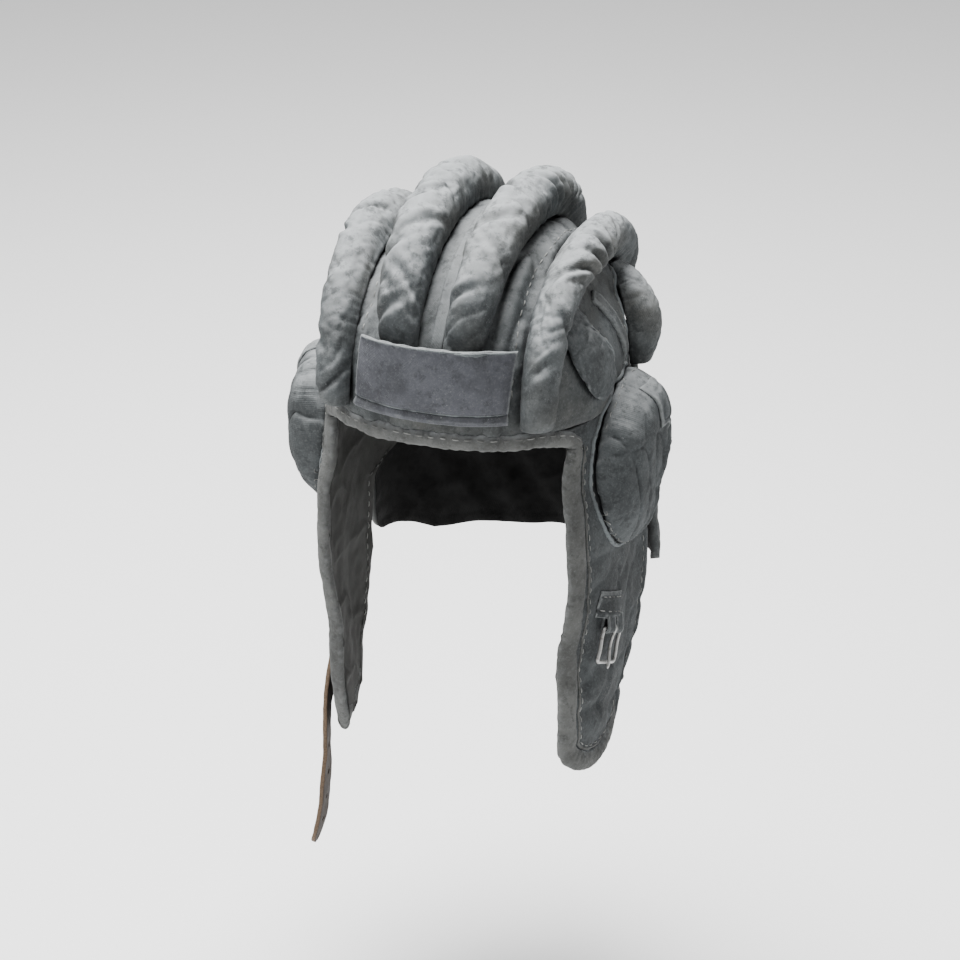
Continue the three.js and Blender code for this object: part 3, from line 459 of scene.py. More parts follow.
class HeadForm:
    """The inner face of the helmet's cloth, in millimetres."""

    def __init__(self, context):
        sizes = context.scene.helmet_form
        self.sizes = sizes
        self.height = mm(sizes.crown_height)
        self.width = mm(sizes.half_width)
        self.reach = mm(sizes.reach)
        self.wall = mm(sizes.shell_wall)
        self.gap = mm(sizes.lay_gap)
        self.drop = mm(sizes.flap_drop)
        self.rim = -self.height
        self.flap_wall = mm(sizes.flap_wall)
        self.round_end = mm(sizes.flap_end)
        self.flap_end = self.rim - self.drop + self.round_end

    def plan(self, z, grow, ahead):
        """Half width, reach and squareness of the plan at height z, ahead or behind."""
        z = asarray(z, float)
        lift = clip((z - self.rim) / (self.height + grow), 0, 1)
        dome = (1 - lift**CROWN_FULLNESS) ** (1 / CROWN_FULLNESS)
        drop = clip((self.rim - z) / self.drop, 0, 1)
        width = self.width * read(PLAN, "drop", drop, "width") + grow
        reach = where(ahead, read(PLAN, "drop", drop, "front"), read(PLAN, "drop", drop, "back"))
        front, back = (read(PLAN, "drop", drop, "square_" + end) for end in ("front", "back"))
        above = z >= self.rim
        return (
            where(above, (self.width + grow) * dome, width),
            where(above, (self.reach + grow) * dome, self.reach * reach + grow),
            where(ahead, front, back),
        )

    def level(self, p, grow=0.0):
        """1 on the form grown outwards, less inside it."""
        z = minimum(p[..., 2], self.rim)
        width, reach, square = self.plan(z, grow, p[..., 1] < 0)
        flat = (abs(p[..., 0]) / width) ** square + (abs(p[..., 1]) / reach) ** square
        flat = flat ** (1 / square)
        lift = maximum(p[..., 2] - self.rim, 0) / (self.height + grow)
        return (flat**CROWN_FULLNESS + lift**CROWN_FULLNESS) ** (1 / CROWN_FULLNESS)

    def outward(self, p):
        """The direction out of the cloth at each point."""
        slopes = []
        for axis in np.eye(3) * 0.8:
            slopes.append(self.level(p + axis) - self.level(p - axis))
        return unit(np.stack(slopes, axis=-1))

    def on_crown(self, direction, grow):
        """The crown's surface in a direction from the middle of its rim."""
        centre = array([0, 0, self.rim])
        return centre + direction / self.level(centre + direction, grow)[..., None]

    def crown_across(self, across, turn, grow):
        """The crown at a distance across, turned from the top towards the back."""
        across, turn = np.broadcast_arrays(asarray(across, float), asarray(turn, float))
        direction = joined(across / self.height, sin(turn), cos(turn))
        point = self.on_crown(direction, grow)
        for _ in range(14):
            safe = where(abs(point[..., 0]) < 1e-6, 1, point[..., 0])
            direction[..., 0] *= where(across == 0, 0, across / safe)
            point = self.on_crown(direction, grow)
        return point

    def side_wall(self, y, z, grow, side):
        """The side wall at a place along and a height; side is 1 or -1."""
        y, z = np.broadcast_arrays(asarray(y, float), asarray(z, float))
        width, reach, square = self.plan(z, grow, y < 0)
        part = clip(abs(y) / reach, 0, 1)
        reach = width * (1 - part**square) ** (1 / square)
        drop = clip((self.rim - z) / self.drop, 0, 1)
        forward = clip((0.5 - y / self.reach) / 1.25, 0, 1)
        lean = mm(self.sizes.flap_lean) * drop**1.5 * forward if side < 0 else 0
        return joined(side * (reach - lean), y, z)

    def wall_toward(self, phi, z, grow):
        """The wall in the plan direction phi, from the left side towards the back."""
        phi, z = np.broadcast_arrays(asarray(phi, float), asarray(z, float))
        width, reach, square = self.plan(z, grow, sin(phi) < 0)
        across, along = abs(cos(phi)) / width, abs(sin(phi)) / reach
        r = 1 / (across**square + along**square) ** (1 / square)
        return joined(r * cos(phi), r * sin(phi), z)

    def brow(self, phi):
        """Height of the middle of the brow's binding in the plan direction phi."""
        part = clip((phi + math.pi / 2) / (CORNER_ANGLE + math.pi / 2), -1, 1)
        return self.rim + BROW_RISE - BROW_DROOP * part**2

    def flap_edges(self, z, front_inset, rear_inset):
        """The front and rear edges of a side flap at height z."""
        drop = (self.rim - maximum(z, self.flap_end)) / self.drop
        front = -self.reach * read(FLAP, "drop", drop, "front") + front_inset
        rear = self.reach * read(FLAP, "drop", drop, "rear") - rear_inset
        part = clip((self.flap_end - z) / (self.round_end - front_inset), 0, 1)
        half = (rear - front) / 2 * np.sqrt(1 - part**2)
        middle = (front + rear) / 2
        return middle - half, middle + half


def stations(form, line):
    """Directions aside and outwards at each point of a line on the form."""
    along = unit(np.gradient(line, axis=0))
    out = form.outward(line)
    aside = unit(np.cross(along, out))
    return aside, unit(np.cross(aside, along))


def grid_faces(rows, columns, wrap=False):
    """Quads of a grid of points; a wrapped grid joins its last column to its first."""
    cells = arange(rows * columns).reshape(rows, columns)
    if wrap:
        cells = concatenate([cells, cells[:, :1]], axis=1)
    return joined(cells[:-1, :-1], cells[:-1, 1:], cells[1:, 1:], cells[1:, :-1]).reshape(-1, 4)


def run_along(grid):
    """Distances across and along a grid of points, as the cloth's own coordinates."""
    across = norm(np.diff(grid, axis=1), axis=-1)
    across = np.pad(np.cumsum(across, axis=1), ((0, 0), (1, 0)))
    along = norm(np.diff(grid, axis=0), axis=-1)
    along = np.pad(np.cumsum(along, axis=0), ((1, 0), (0, 0)))
    return joined(across, along, np.zeros_like(along))


def signed_volume(points, faces):
    a = points[faces[:, 0]]
    total = 0.0
    for k in range(1, faces.shape[1] - 1):
        total += np.einsum("ij,ij->", a, np.cross(points[faces[:, k]], points[faces[:, k + 1]]))
    return total


def add_mesh(name, points, face_groups):
    """A smooth-shaded object from points in millimetres; its faces are turned outwards."""
    points = asarray(points, float)
    turned = sum(signed_volume(points, faces) for faces in face_groups if len(faces)) < 0
    faces = []
    for group in face_groups:
        faces += (group[:, ::-1] if turned else group).tolist()
    mesh = bpy.data.meshes.new(name)
    mesh.from_pydata((points * 0.001).tolist(), [], faces)
    mesh.validate()
    mesh.shade_smooth()
    obj = bpy.data.objects.new(name, mesh)
    bpy.context.scene.collection.objects.link(obj)
    return obj


def add_values(obj, name, values):
    """A value for each point of the mesh, which its material reads by name."""
    values = asarray(values, np.float32)
    kind, field = ("FLOAT", "value") if values.ndim == 1 else ("FLOAT_VECTOR", "vector")
    attribute = obj.data.attributes.new(name, kind, "POINT")
    attribute.data.foreach_set(field, values.ravel())


def sheet_mesh(name, inner, outer, lined=False):
    """A sheet with a thickness from two grids of points, closed round its edge."""
    rows, columns = inner.shape[:2]
    layer = rows * columns
    quads = grid_faces(rows, columns)
    cells = arange(layer).reshape(rows, columns)
    rim = concatenate([cells[0, :-1], cells[:-1, -1], cells[-1, :0:-1], cells[:0:-1, 0]])
    after = np.roll(rim, -1)
    walls = joined(rim, rim + layer, after + layer, after)
    points = concatenate([inner.reshape(-1, 3), outer.reshape(-1, 3)])
    obj = add_mesh(name, points, [quads, quads[:, ::-1] + layer, walls])
    add_values(obj, "cloth", concatenate([run_along(inner).reshape(-1, 3)] * 2))
    if lined:
        add_values(obj, "lining", np.repeat([1.0, 0.0], layer))
    return obj


def tube_mesh(name, rings, closed=False):
    """A solid through rings of points, with a fan at each end or joined to itself."""
    rows, columns = rings.shape[:2]
    points = rings.reshape(-1, 3)
    if closed:
        quads = grid_faces(rows + 1, columns, wrap=True) % (rows * columns)
        obj = add_mesh(name, points, [quads])
        add_values(obj, "cloth", run_along(rings).reshape(-1, 3))
        return obj
    ends = rings[[0, -1]].mean(axis=1)
    j = arange(columns)
    first = joined((j + 1) % columns, j, rows * columns)
    last_row = (rows - 1) * columns
    last = joined(j, (j + 1) % columns, rows * columns - last_row + 1)
    last += last_row
    quads = grid_faces(rows, columns, wrap=True)
    obj = add_mesh(name, concatenate([points, ends]), [quads, first, last])
    cloth = run_along(rings).reshape(-1, 3)
    add_values(obj, "cloth", concatenate([cloth, cloth[[0, -1]]]))
    return obj


def read_points(mesh):
    """The points of a mesh in millimetres, and its normals."""
    points = np.empty((2, len(mesh.vertices) * 3), np.float32)
    mesh.vertices.foreach_get("co", points[0])
    mesh.vertex_normals.foreach_get("vector", points[1])
    return points[0].reshape(-1, 3).astype(float) * 1000, points[1].reshape(-1, 3)


def move_points(obj, points):
    """Puts the points of a mesh in new places, given in millimetres."""
    obj.data.vertices.foreach_set("co", (points * 0.001).astype(np.float32).ravel())


def bake(context, obj):
    """Makes the evaluated shape the object's own mesh and takes its modifiers off."""
    view = context.evaluated_depsgraph_get()
    view.update()
    mesh = bpy.data.meshes.new_from_object(obj.evaluated_get(view))
    old = obj.data
    obj.modifiers.clear()
    obj.data = mesh
    bpy.data.meshes.remove(old)


def mark_wear(obj, scale, spread=6):
    """Works out where the cloth is raised or creased and where it faces up."""
    mesh = obj.data
    points, normals = read_points(mesh)
    count = len(points)
    edges = np.empty(len(mesh.edges) * 2, np.int32)
    mesh.edges.foreach_get("vertices", edges)
    a, b = edges.reshape(-1, 2).T
    degree = maximum(np.bincount(a, minlength=count) + np.bincount(b, minlength=count), 1)

    def neighbours(values):
        return (np.bincount(a, values[b], count) + np.bincount(b, values[a], count)) / degree

    middle = np.stack([neighbours(points[:, axis]) for axis in range(3)], axis=1)
    lengths = ((points[a] - points[b]) ** 2).sum(axis=1)
    size = (np.bincount(a, lengths, count) + np.bincount(b, lengths, count)) / degree
    bend = -2 * ((middle - points) * normals).sum(axis=1) / maximum(size, 1e-3)
    bend = clip(bend, -1.5, 1.5)
    for _ in range(spread):
        bend = 0.4 * bend + 0.6 * neighbours(bend)
    add_values(obj, "relief", clip(bend * scale, -1, 1))
    # Painted top light, partly sun-fading: cloth that faces up is painted paler
    add_values(obj, "upward", clip(0.35 + 0.65 * normals[:, 2], 0, 1))


def mark_hollows(objects):
    """Works out how shut in each place is by the pieces round it, for the painted shade and dirt in its
    hollows.
    """
    points, faces = [], []
    start = 0
    for obj in objects:
        mesh = obj.data
        points += [v.co.copy() for v in mesh.vertices]
        faces += [[start + k for k in p.vertices] for p in mesh.polygons]
        start += len(mesh.vertices)
    tree = BVHTree.FromPolygons(points, faces)
    for obj in objects:
        shut = []
        for vertex in obj.data.vertices:
            normal = vertex.normal
            aside = normal.orthogonal().normalized() * 1.1
            other = normal.cross(aside)
            place = vertex.co + normal * HOLLOW_LIFT
            ways = (normal, normal + aside, normal - aside, normal + other, normal - other)
            hits = 0.0
            for way in ways:
                far = tree.ray_cast(place, way, HOLLOW_REACH)[3]
                if far is not None:
                    hits += 1 - far / HOLLOW_REACH
            shut.append(hits / len(ways))
        obj.data.attributes["hollow"].data.foreach_set("value", shut)


def dress(obj, material, *nodes, slot="cotton_cloth", body="root", wear=3.2):
    """Gives a piece its material and body, and the nodes it stands for; the slot is not used."""
    for name in ("cloth", "lining", "hollow"):
        if name not in obj.data.attributes:
            width = (len(obj.data.vertices), 3) if name == "cloth" else len(obj.data.vertices)
            add_values(obj, name, np.zeros(width))
    mark_wear(obj, scale=wear)
    obj.data.materials.clear()
    obj.data.materials.append(material)
    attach(obj, body)
    if nodes:
        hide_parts(*nodes)
    return obj


class Surface:
    """Finds places on finished pieces, for what lies on them."""

    def __init__(self, *objects):
        self.trees = []
        for obj in objects:
            mesh = obj.data
            points = [v.co.copy() for v in mesh.vertices]
            self.trees.append(BVHTree.FromPolygons(points, [list(p.vertices) for p in mesh.polygons]))

    def outside(self, points, out, reach=12.0, lift=0.0):
        """Points moved along out to where they leave the outermost cloth."""
        placed, normals = [], []
        for point, way in zip(points.reshape(-1, 3), out.reshape(-1, 3)):
            start = Vector((point + way * reach) * 0.001)
            best = None
            for tree in self.trees:
                place, normal, _, far = tree.ray_cast(start, Vector(-way), 2.2 * reach * 0.001)
                if place is not None and (best is None or far < best[2]):
                    best = (array(place) * 1000, array(normal), far)
            if best is None:
                best = (point, way, 0)
            placed.append(best[0] + lift * best[1])
            normals.append(best[1])
        return array(placed).reshape(points.shape), array(normals).reshape(points.shape)


def round_rings(line, aside, up, radius, sides):
    """A ring of points round each point of a line."""
    theta = circle(sides)[:, None]
    radius = np.broadcast_to(radius, line.shape[:-1])[..., None, None]
    aside, up = aside[..., None, :], up[..., None, :]
    return line[..., None, :] + radius * (aside * cos(theta) + up * sin(theta))


def sew(name, surface, line, out, looks, trim, seed=1):
    """A row of thread stitches along a line, on the outside of the cloth."""
    along = travelled(line)
    total = along[-1]
    count = max(int(total / mm(trim.stitch + trim.stitch_gap)), 1)
    half = mm(trim.stitch) / 2 / total
    at = (arange(count) + 0.5) / count
    jitter = noise(joined(at * total, 0, 0), 3, seed)
    steps = array([-1, -0.6, 0, 0.6, 1])
    thick = mm(trim.thread) / 2
    fat = array([0.35, 0.9, 1, 0.9, 0.35]) * thick
    lift = array([-0.5, 0.35, 0.7, 0.35, -0.5]) * thick
    places = clip(at[:, None] + half * (1 + 0.2 * jitter[:, None]) * steps, 0, 1)
    along = along / total
    placed, normals = surface.outside(read_line(places, along, line), unit(read_line(places, along, out)))
    aside = unit(np.cross(np.gradient(placed, axis=1), normals))
    sides = 6
    rings = round_rings(placed + normals * lift[:, None], aside, normals, fat, sides)
    quads = grid_faces(len(steps), sides, wrap=True)
    cap = arange(sides)
    caps = np.stack([cap[::-1], cap + (len(steps) - 1) * sides])
    size = len(steps) * sides
    start = arange(count)[:, None, None] * size
    obj = add_mesh(
        name, rings.reshape(-1, 3),
        [(quads + start).reshape(-1, 4), (caps + start).reshape(-1, sides)],
    )
    return dress(obj, looks["sewing thread"])


def seam_cord(name, surface, line, out, material, thick, seed=1, slot="cotton_cloth", ripple=0.25):
    """A raised seam edge: an uneven cord of folded cloth along a line."""
    count = max(int(travelled(line)[-1] / 1.1), 4)
    at = linspace(0, 1, count + 1)
    along = linspace(0, 1, len(line))
    ways = unit(read_line(at, along, out))
    placed, normals = surface.outside(read_line(at, along, line), ways, lift=0.1 * thick)
    for _ in range(3):
        placed[1:-1] = (placed[:-2] + 2 * placed[1:-1] + placed[2:]) / 4
        normals[1:-1] = unit(normals[:-2] + 2 * normals[1:-1] + normals[2:])
    aside = unit(np.cross(np.gradient(placed, axis=0), normals))
    taper = minimum(1, minimum(arange(count + 1), arange(count, -1, -1)) / 4 + 0.2)
    radius = thick / 2 * taper * (1 + ripple * noise(placed, 3, seed))
    rings = round_rings(placed, 1.25 * aside, normals, radius, 8)
    return dress(tube_mesh(name, rings), material, slot=slot, wear=0.8)


class Value:
    """A number on a material's node tree that adds Math nodes as it is worked with."""

    def __init__(self, paint, socket):
        self.paint = paint
        self.socket = socket

    def maths(self, operation, *others):
        inputs = {k: value for k, value in enumerate((self, *others))}
        return self.paint.node("ShaderNodeMath", {"operation": operation}, inputs)

    def __add__(self, other):
        return self.maths("ADD", other)

    def __sub__(self, other):
        return self.maths("SUBTRACT", other)

    def __rsub__(self, other):
        return self.paint.node("ShaderNodeMath", {"operation": "SUBTRACT"}, {0: other, 1: self})

    def __mul__(self, other):
        return self.maths("MULTIPLY", other)

    def __neg__(self):
        return self * -1

    def sine(self):
        return self.maths("SINE")

    def largest(self, other):
        return self.maths("MAXIMUM", other)

    def between(self, low, high):
        """0 where the value is below low, 1 above high, smooth between."""
        settings = {"interpolation_type": "SMOOTHSTEP"}
        inputs = {"Value": self, "From Min": low, "From Max": high}
        return self.paint.node("ShaderNodeMapRange", settings, inputs)

    __radd__ = __add__
    __rmul__ = __mul__


def shade(colour, strength=1):
    """A colour made darker or paler."""
    return tuple(strength * c for c in colour)


class Paint:
    """A material under construction."""

    def __init__(self, name):
        self.material = bpy.data.materials.new(name)
        self.material.use_nodes = True
        self.nodes = self.material.node_tree.nodes
        self.links = self.material.node_tree.links
        self.shader = next(n for n in self.nodes if n.type == "BSDF_PRINCIPLED")

    def node(self, kind, settings=None, inputs=None, output=0):
        """Adds a node: its type, then its settings, then values or links for its sockets."""
        made = self.nodes.new(kind)
        for key, value in (settings or {}).items():
            setattr(made, key, value)
        for key, value in (inputs or {}).items():
            self.feed(made.inputs[key], value)
        return Value(self, made.outputs[output])

    def feed(self, socket, value):
        if isinstance(value, Value):
            self.links.new(value.socket, socket)
        elif isinstance(value, (tuple, list)) and len(value) == 3 and socket.type == "RGBA":
            socket.default_value = (*value, 1)
        else:
            socket.default_value = value

    def attribute(self, name, output="Fac"):
        return self.node("ShaderNodeAttribute", {"attribute_name": name}, {}, output)

    def mix(self, part, a, b):
        """The colour a, turning to b where part is 1."""
        settings = {"data_type": "RGBA", "clamp_factor": True}
        return self.node("ShaderNodeMix", settings, {0: part, 6: a, 7: b}, 2)

    def grain(self, size, place, detail=2.0, rough=0.55):
        """Noise whose features are about size across, in the units of place."""
        inputs = {"Vector": place, "Scale": 1 / size, "Detail": detail, "Roughness": rough}
        return self.node("ShaderNodeTexNoise", {}, inputs, "Fac")

    def stretched(self, place, scale):
        return self.node("ShaderNodeVectorMath", {"operation": "MULTIPLY"}, {0: place, 1: scale})

    def finish(self, base, roughness, height=None, relief=0.4, depth=0.0006, **constants):
        self.feed(self.shader.inputs["Base Color"], base)
        self.feed(self.shader.inputs["Roughness"], roughness)
        for name, value in constants.items():
            self.feed(self.shader.inputs[name.replace("_", " ")], value)
        if height is not None:
            inputs = {"Strength": relief, "Distance": depth, "Height": height}
            self.feed(self.shader.inputs["Normal"], self.node("ShaderNodeBump", {}, inputs))
        return self.material


def worn_cloth(name, tones, darkening=1.0, scuffs=1.0, weave=0.8):
    """Faded cotton: blotches, tops paled by sun-fading and painted top light, creases darkened by dirt and
    painted shade, rubbed edges and scuffs.
    """
    paint = Paint(name)
    place = paint.node("ShaderNodeTexCoord", {}, {}, "Object")
    thread = paint.attribute("cloth", "Vector")
    relief = paint.attribute("relief")
    upward = paint.attribute("upward")
    lining = paint.attribute("lining")
    hollow = paint.attribute("hollow")
    cloud = paint.grain(0.055, place, 2).between(0.35, 0.65)
    blotch = paint.grain(0.026, place, 4, 0.6).between(0.38, 0.62)
    patch = paint.grain(0.009, place, 4, 0.65).between(0.42, 0.64)
    # Painted top light, partly sun-fading: cloth facing up, and raised places, are mixed towards the pale
    # faded tone
    bleach_and_top_light = upward.between(0.42, 1.0) * 0.85 + patch * 0.22 + relief * 0.25
    dark = paint.grain(0.0075, place, 5, 0.72).between(0.5, 0.66)
    fine = paint.grain(0.0016, place, 3, 0.7)
    # Painted shade, partly dirt: cloth shut in by other pieces, and concave creases, are darkened towards the
    # grime tone
    crease_shade_and_dirt = (hollow.between(0.22, 0.8) * 0.9).largest((-relief).between(0.04, 0.7) * 0.8) * darkening
    rough_edge = paint.grain(0.004, place, 3, 0.7).between(0.3, 0.7)
    edge = relief.between(0.35, 1.0) * (0.35 + 0.65 * rough_edge)
    bare = paint.grain(0.022, place, 3).between(0.46, 0.64)
    ragged = paint.stretched(place, (1.0, 1.6, 0.8))
    specks = paint.grain(0.0022, ragged, 5, 0.85).between(0.6, 0.7) * (0.06 + 0.94 * bare)
    hairs = paint.grain(1.0, paint.stretched(thread, (0.28, 1.5, 1)), 3, 0.8).between(0.64, 0.72)
    base = tones["cloth"]
    layers = (
        (cloud, "warm"),
        (blotch * 0.6, "deep"),
        (bleach_and_top_light.between(0.02, 1.2), "faded"),
        (dark * 0.6, "deep"),
        (fine.between(0.45, 0.8) * 0.12, "rubbed"),
        (crease_shade_and_dirt, "grime"),
        (edge * 0.42, "rubbed"),
        ((specks * 0.5 + hairs * bare * 0.5) * scuffs, "rubbed"),
        # The inner faces: near-black painted shade inside the crown, nape and panel; the side flaps' grey
        # lining is their own colour
        (lining, "lining"),
    )
    for part, tone in layers:
        base = paint.mix(part, base, tones[tone])
    across = paint.node("ShaderNodeSeparateXYZ", {}, {0: thread}, "X")
    along = Value(paint, across.socket.node.outputs["Y"])
    turn = 2 * math.pi / weave
    warp = (across * turn).sine() * (along * turn).sine()
    twill = ((across + along) * (turn / 2)).sine()
    height = warp * 0.12 + twill * 0.16 + fine * 0.6 + patch * 0.35 + specks * 0.3
    roughness = 0.86 + 0.1 * patch
    return paint.finish(base, roughness, height, 0.5, 0.0005, Specular_IOR_Level=0.25)


def strap_leather(colours):
    """Old leather: dark, cracked face and tan cut edges."""
    paint = Paint("strap leather")
    place = paint.node("ShaderNodeTexCoord", {}, {}, "Object")
    edge = paint.attribute("edge")
    blotch = paint.grain(0.012, place, 4, 0.6).between(0.35, 0.65)
    pores = paint.grain(0.0011, place, 3, 0.7)
    cracks = paint.grain(0.004, paint.stretched(place, (1, 1, 0.35)), 4, 0.8).between(0.56, 0.66)
    base = paint.mix(blotch * 0.7, shade(colours.leather), shade(colours.leather, 1.9))
    base = paint.mix(cracks * 0.5, base, shade(colours.leather, 0.4))
    cut = colours.leather_edge
    tan = paint.mix(pores.between(0.4, 0.7), shade(cut), shade(cut, 0.6))
    base = paint.mix(edge.between(0.3, 0.6), base, tan)
    height = pores * 0.6 - cracks * 0.6
    return paint.finish(base, 0.72 + 0.16 * blotch, height, 0.5, 0.0006, Specular_IOR_Level=0.22)


def sewing_thread(colours):
    """Pale, greyed cotton thread."""
    paint = Paint("sewing thread")
    place = paint.node("ShaderNodeTexCoord", {}, {}, "Object")
    darkening = paint.grain(0.014, place, 3, 0.6).between(0.4, 0.62)
    base = paint.mix(darkening, shade(colours.thread), shade(colours.thread, 0.45))
    ply = paint.grain(0.0007, place, 2)
    return paint.finish(base, 0.9, ply, 0.5, 0.0002)


def dull_wire(colours):
    """Bare steel wire with a dulled, spotted surface."""
    paint = Paint("dull wire")
    place = paint.node("ShaderNodeTexCoord", {}, {}, "Object")
    spots = paint.grain(0.0022, place, 4, 0.65).between(0.5, 0.72)
    base = paint.mix(spots * 0.7, shade(colours.wire), (0.2, 0.185, 0.17))
    fine = paint.grain(0.0006, place, 2)
    return paint.finish(base, 0.48 + 0.25 * spots, fine, 0.25, 0.0002, Metallic=1.0)


def tones(colours, cloth=None, lining=None, pale=1.0):
    """The tones of one cloth, from the helmet's colours."""
    own = shade(cloth or colours.cotton)
    return {
        "cloth": own, "warm": shade(colours.cotton_warm) if cloth is None else shade(own, 1.12),
        "deep": shade(own, 0.42), "faded": shade(colours.faded, pale),
        "rubbed": shade(colours.rubbed), "grime": shade(colours.grime),
        "lining": shade(lining or colours.lining),
    }


def materials(context):
    """Each material, made once and then found by name."""
    colours = context.scene.helmet_colours
    cotton, grey = colours.cotton, colours.flap_lining
    cloths = {
        "crown cotton": (tones(colours, pale=0.62), 1.1),
        "roll cotton": (tones(colours), 0.9, 1.1),
        "flap cotton": (tones(colours, shade(cotton, 0.66), grey, 0.6),),
        "pad cotton": (tones(colours, shade(cotton, 0.8), None, 0.75),),
        "binding cotton": (tones(colours, colours.binding, grey, 0.7), 0.8, 0.9),
        "panel cloth": (tones(colours, colours.panel, pale=0.45), 0.7, 1.9),
        "frayed edge": (tones(colours, shade(cotton, 1.9), pale=0.8), 0.5, 1.2),
    }
    looks = {name: bpy.data.materials.get(name) or worn_cloth(name, *cloth) for name, cloth in cloths.items()}
    makers = {"sewing thread": sewing_thread, "strap leather": strap_leather, "dull wire": dull_wire}
    for name, make in makers.items():
        looks[name] = bpy.data.materials.get(name) or make(colours)
    return looks


def tools(context):
    """The head form, the sizes of the trim and the materials."""
    return HeadForm(context), context.scene.helmet_trim, materials(context)


def crown_edge(form, phi, lift):
    """The crown's lower edge: cut higher over the face."""
    ahead = abs(np.arctan2(cos(phi), -sin(phi)))
    span = CORNER_ANGLE + math.pi / 2
    opened = 1 - ease(0, CORNER_BLEND, ahead - span)
    front = form.brow(-math.pi / 2 + minimum(ahead, span)) + lift
    return form.rim + opened * (front - form.rim)


def make_crown(context):
    form, trim, looks = tools(context)
    spokes, rings = 340, 96
    phi = circle(spokes)
    low_edge = crown_edge(form, phi, mm(trim.binding_width) / 2)
    layers = []
    for grow in (0.0, form.wall):
        height = form.height + grow
        low = np.arcsin(((low_edge - form.rim) / height) ** (CROWN_FULLNESS / 2))
        t = (arange(rings) / rings)[:, None]
        angle = low + (math.pi / 2 - low) * t
        z = form.rim + height * sin(angle) ** (2 / CROWN_FULLNESS)
        layers.append(form.wall_toward(phi[None, :], z, grow))
    outer = layers[1]
    turn = np.arctan2(outer[..., 1], outer[..., 2] - form.rim)
    lines = joined(outer[..., 0] / 7.5, turn * form.reach / 46)
    folds = 1.7 * noise(lines, 1, 11) + 2.0 * crumple(lines * 0.8, 1, 12)
    small = 0.5 * noise(outer, 9, 13) + 0.35 * noise(outer, 4, 14)
    between = abs(abs(outer[..., 0]) / form.width - 0.48)
    free = ease(0.26, 0.1, between) + ease(0.84, 0.92, abs(outer[..., 0]) / form.width)
    upward = ease(form.rim, form.rim + 14, outer[..., 2])
    moved = (folds * (0.45 + 0.85 * clip(free, 0, 1)) + small) * (0.25 + 0.75 * upward) + 0.4
    out = form.outward(outer)
    outer = outer + out * moved[..., None]
    inner = layers[0] + out * (0.5 * noise(layers[0], 22, 15) + 0.2)[..., None]
    tops = [[0, 0, 0]], [[0, 0, form.wall + 0.4]]
    points = concatenate([inner.reshape(-1, 3), tops[0], outer.reshape(-1, 3), tops[1]])
    layer = rings * spokes + 1
    quads = grid_faces(rings, spokes, wrap=True)
    j = arange(spokes)
    last = (rings - 1) * spokes
    fan = joined(last + j, last + (j + 1) % spokes, layer - 1)
    lip = joined(j, j + layer, (j + 1) % spokes + layer, (j + 1) % spokes)
    crown = add_mesh("crown_cloth", points, [quads, quads[:, ::-1] + layer, fan, fan[:, ::-1] + layer, lip])
    flat = joined(points[:, 0], points[:, 1] + points[:, 2], 0)
    add_values(crown, "cloth", flat)
    add_values(crown, "lining", np.repeat([1.0, 0.0], layer))
    dress(crown, looks["crown cotton"], "crown_shell")
    surface = Surface(crown)
    turn = np.radians(linspace(-66, 76, 120))
    line = form.crown_across(np.full(120, 0.04 * form.width), turn, form.wall)
    tapes = [tape(form, trim, looks, surface, "crown_tape_cloth", line, "crown_tape")]
    for side, hand in SIDES:
        line = side_line(form, SIDE_TAPE, side, form.wall, 60)
        tapes.append(tape(form, trim, looks, surface, "side_tape_cloth_" + hand, line, "side_tape_" + hand))


class HELMET_OT_crown(bpy.types.Operator):
    """Makes the crown's cloth and the tapes over its seams"""

    bl_idname = "helmet.crown"
    bl_label = "Crown"

    def execute(self, context):
        make_crown(context)
        return {"FINISHED"}


def side_line(form, rows, side, grow, count):
    """A line on the side of the crown through a table's places."""
    y = rows["along"] * form.reach
    z = -rows["down"] * form.height
    return smooth_line(form.side_wall(y, z, grow, side), count)


def tape(form, trim, looks, surface, name, line, node):
    """A flat tape sewn over a seam, slightly wavy, with turned edges."""
    aside, out = stations(form, line)
    half = mm(trim.tape_width) / 2
    wall = mm(trim.tape_wall)
    across = array([-1, -0.96, -0.7, -0.35, 0, 0.35, 0.7, 0.96, 1])
    lift = array([0, 0.75, 1.05, 0.9, 0.88, 0.9, 1.05, 0.75, 0]) * wall + form.gap
    base, _ = surface.outside(line, out)
    wave = 0.35 * noise(line, 9, 21)
    top = base[:, None] + aside[:, None] * (half * across)[:, None] * (1 + 0.03 * wave[:, None, None])
    top = top + out[:, None] * (lift + wave[:, None])[..., None]
    foot = base[:, None] + aside[:, None] * (0.98 * half * across)[:, None] - out[:, None] * 0.6
    obj = sheet_mesh(name, foot, top)
    return dress(obj, looks["crown cotton"], node)


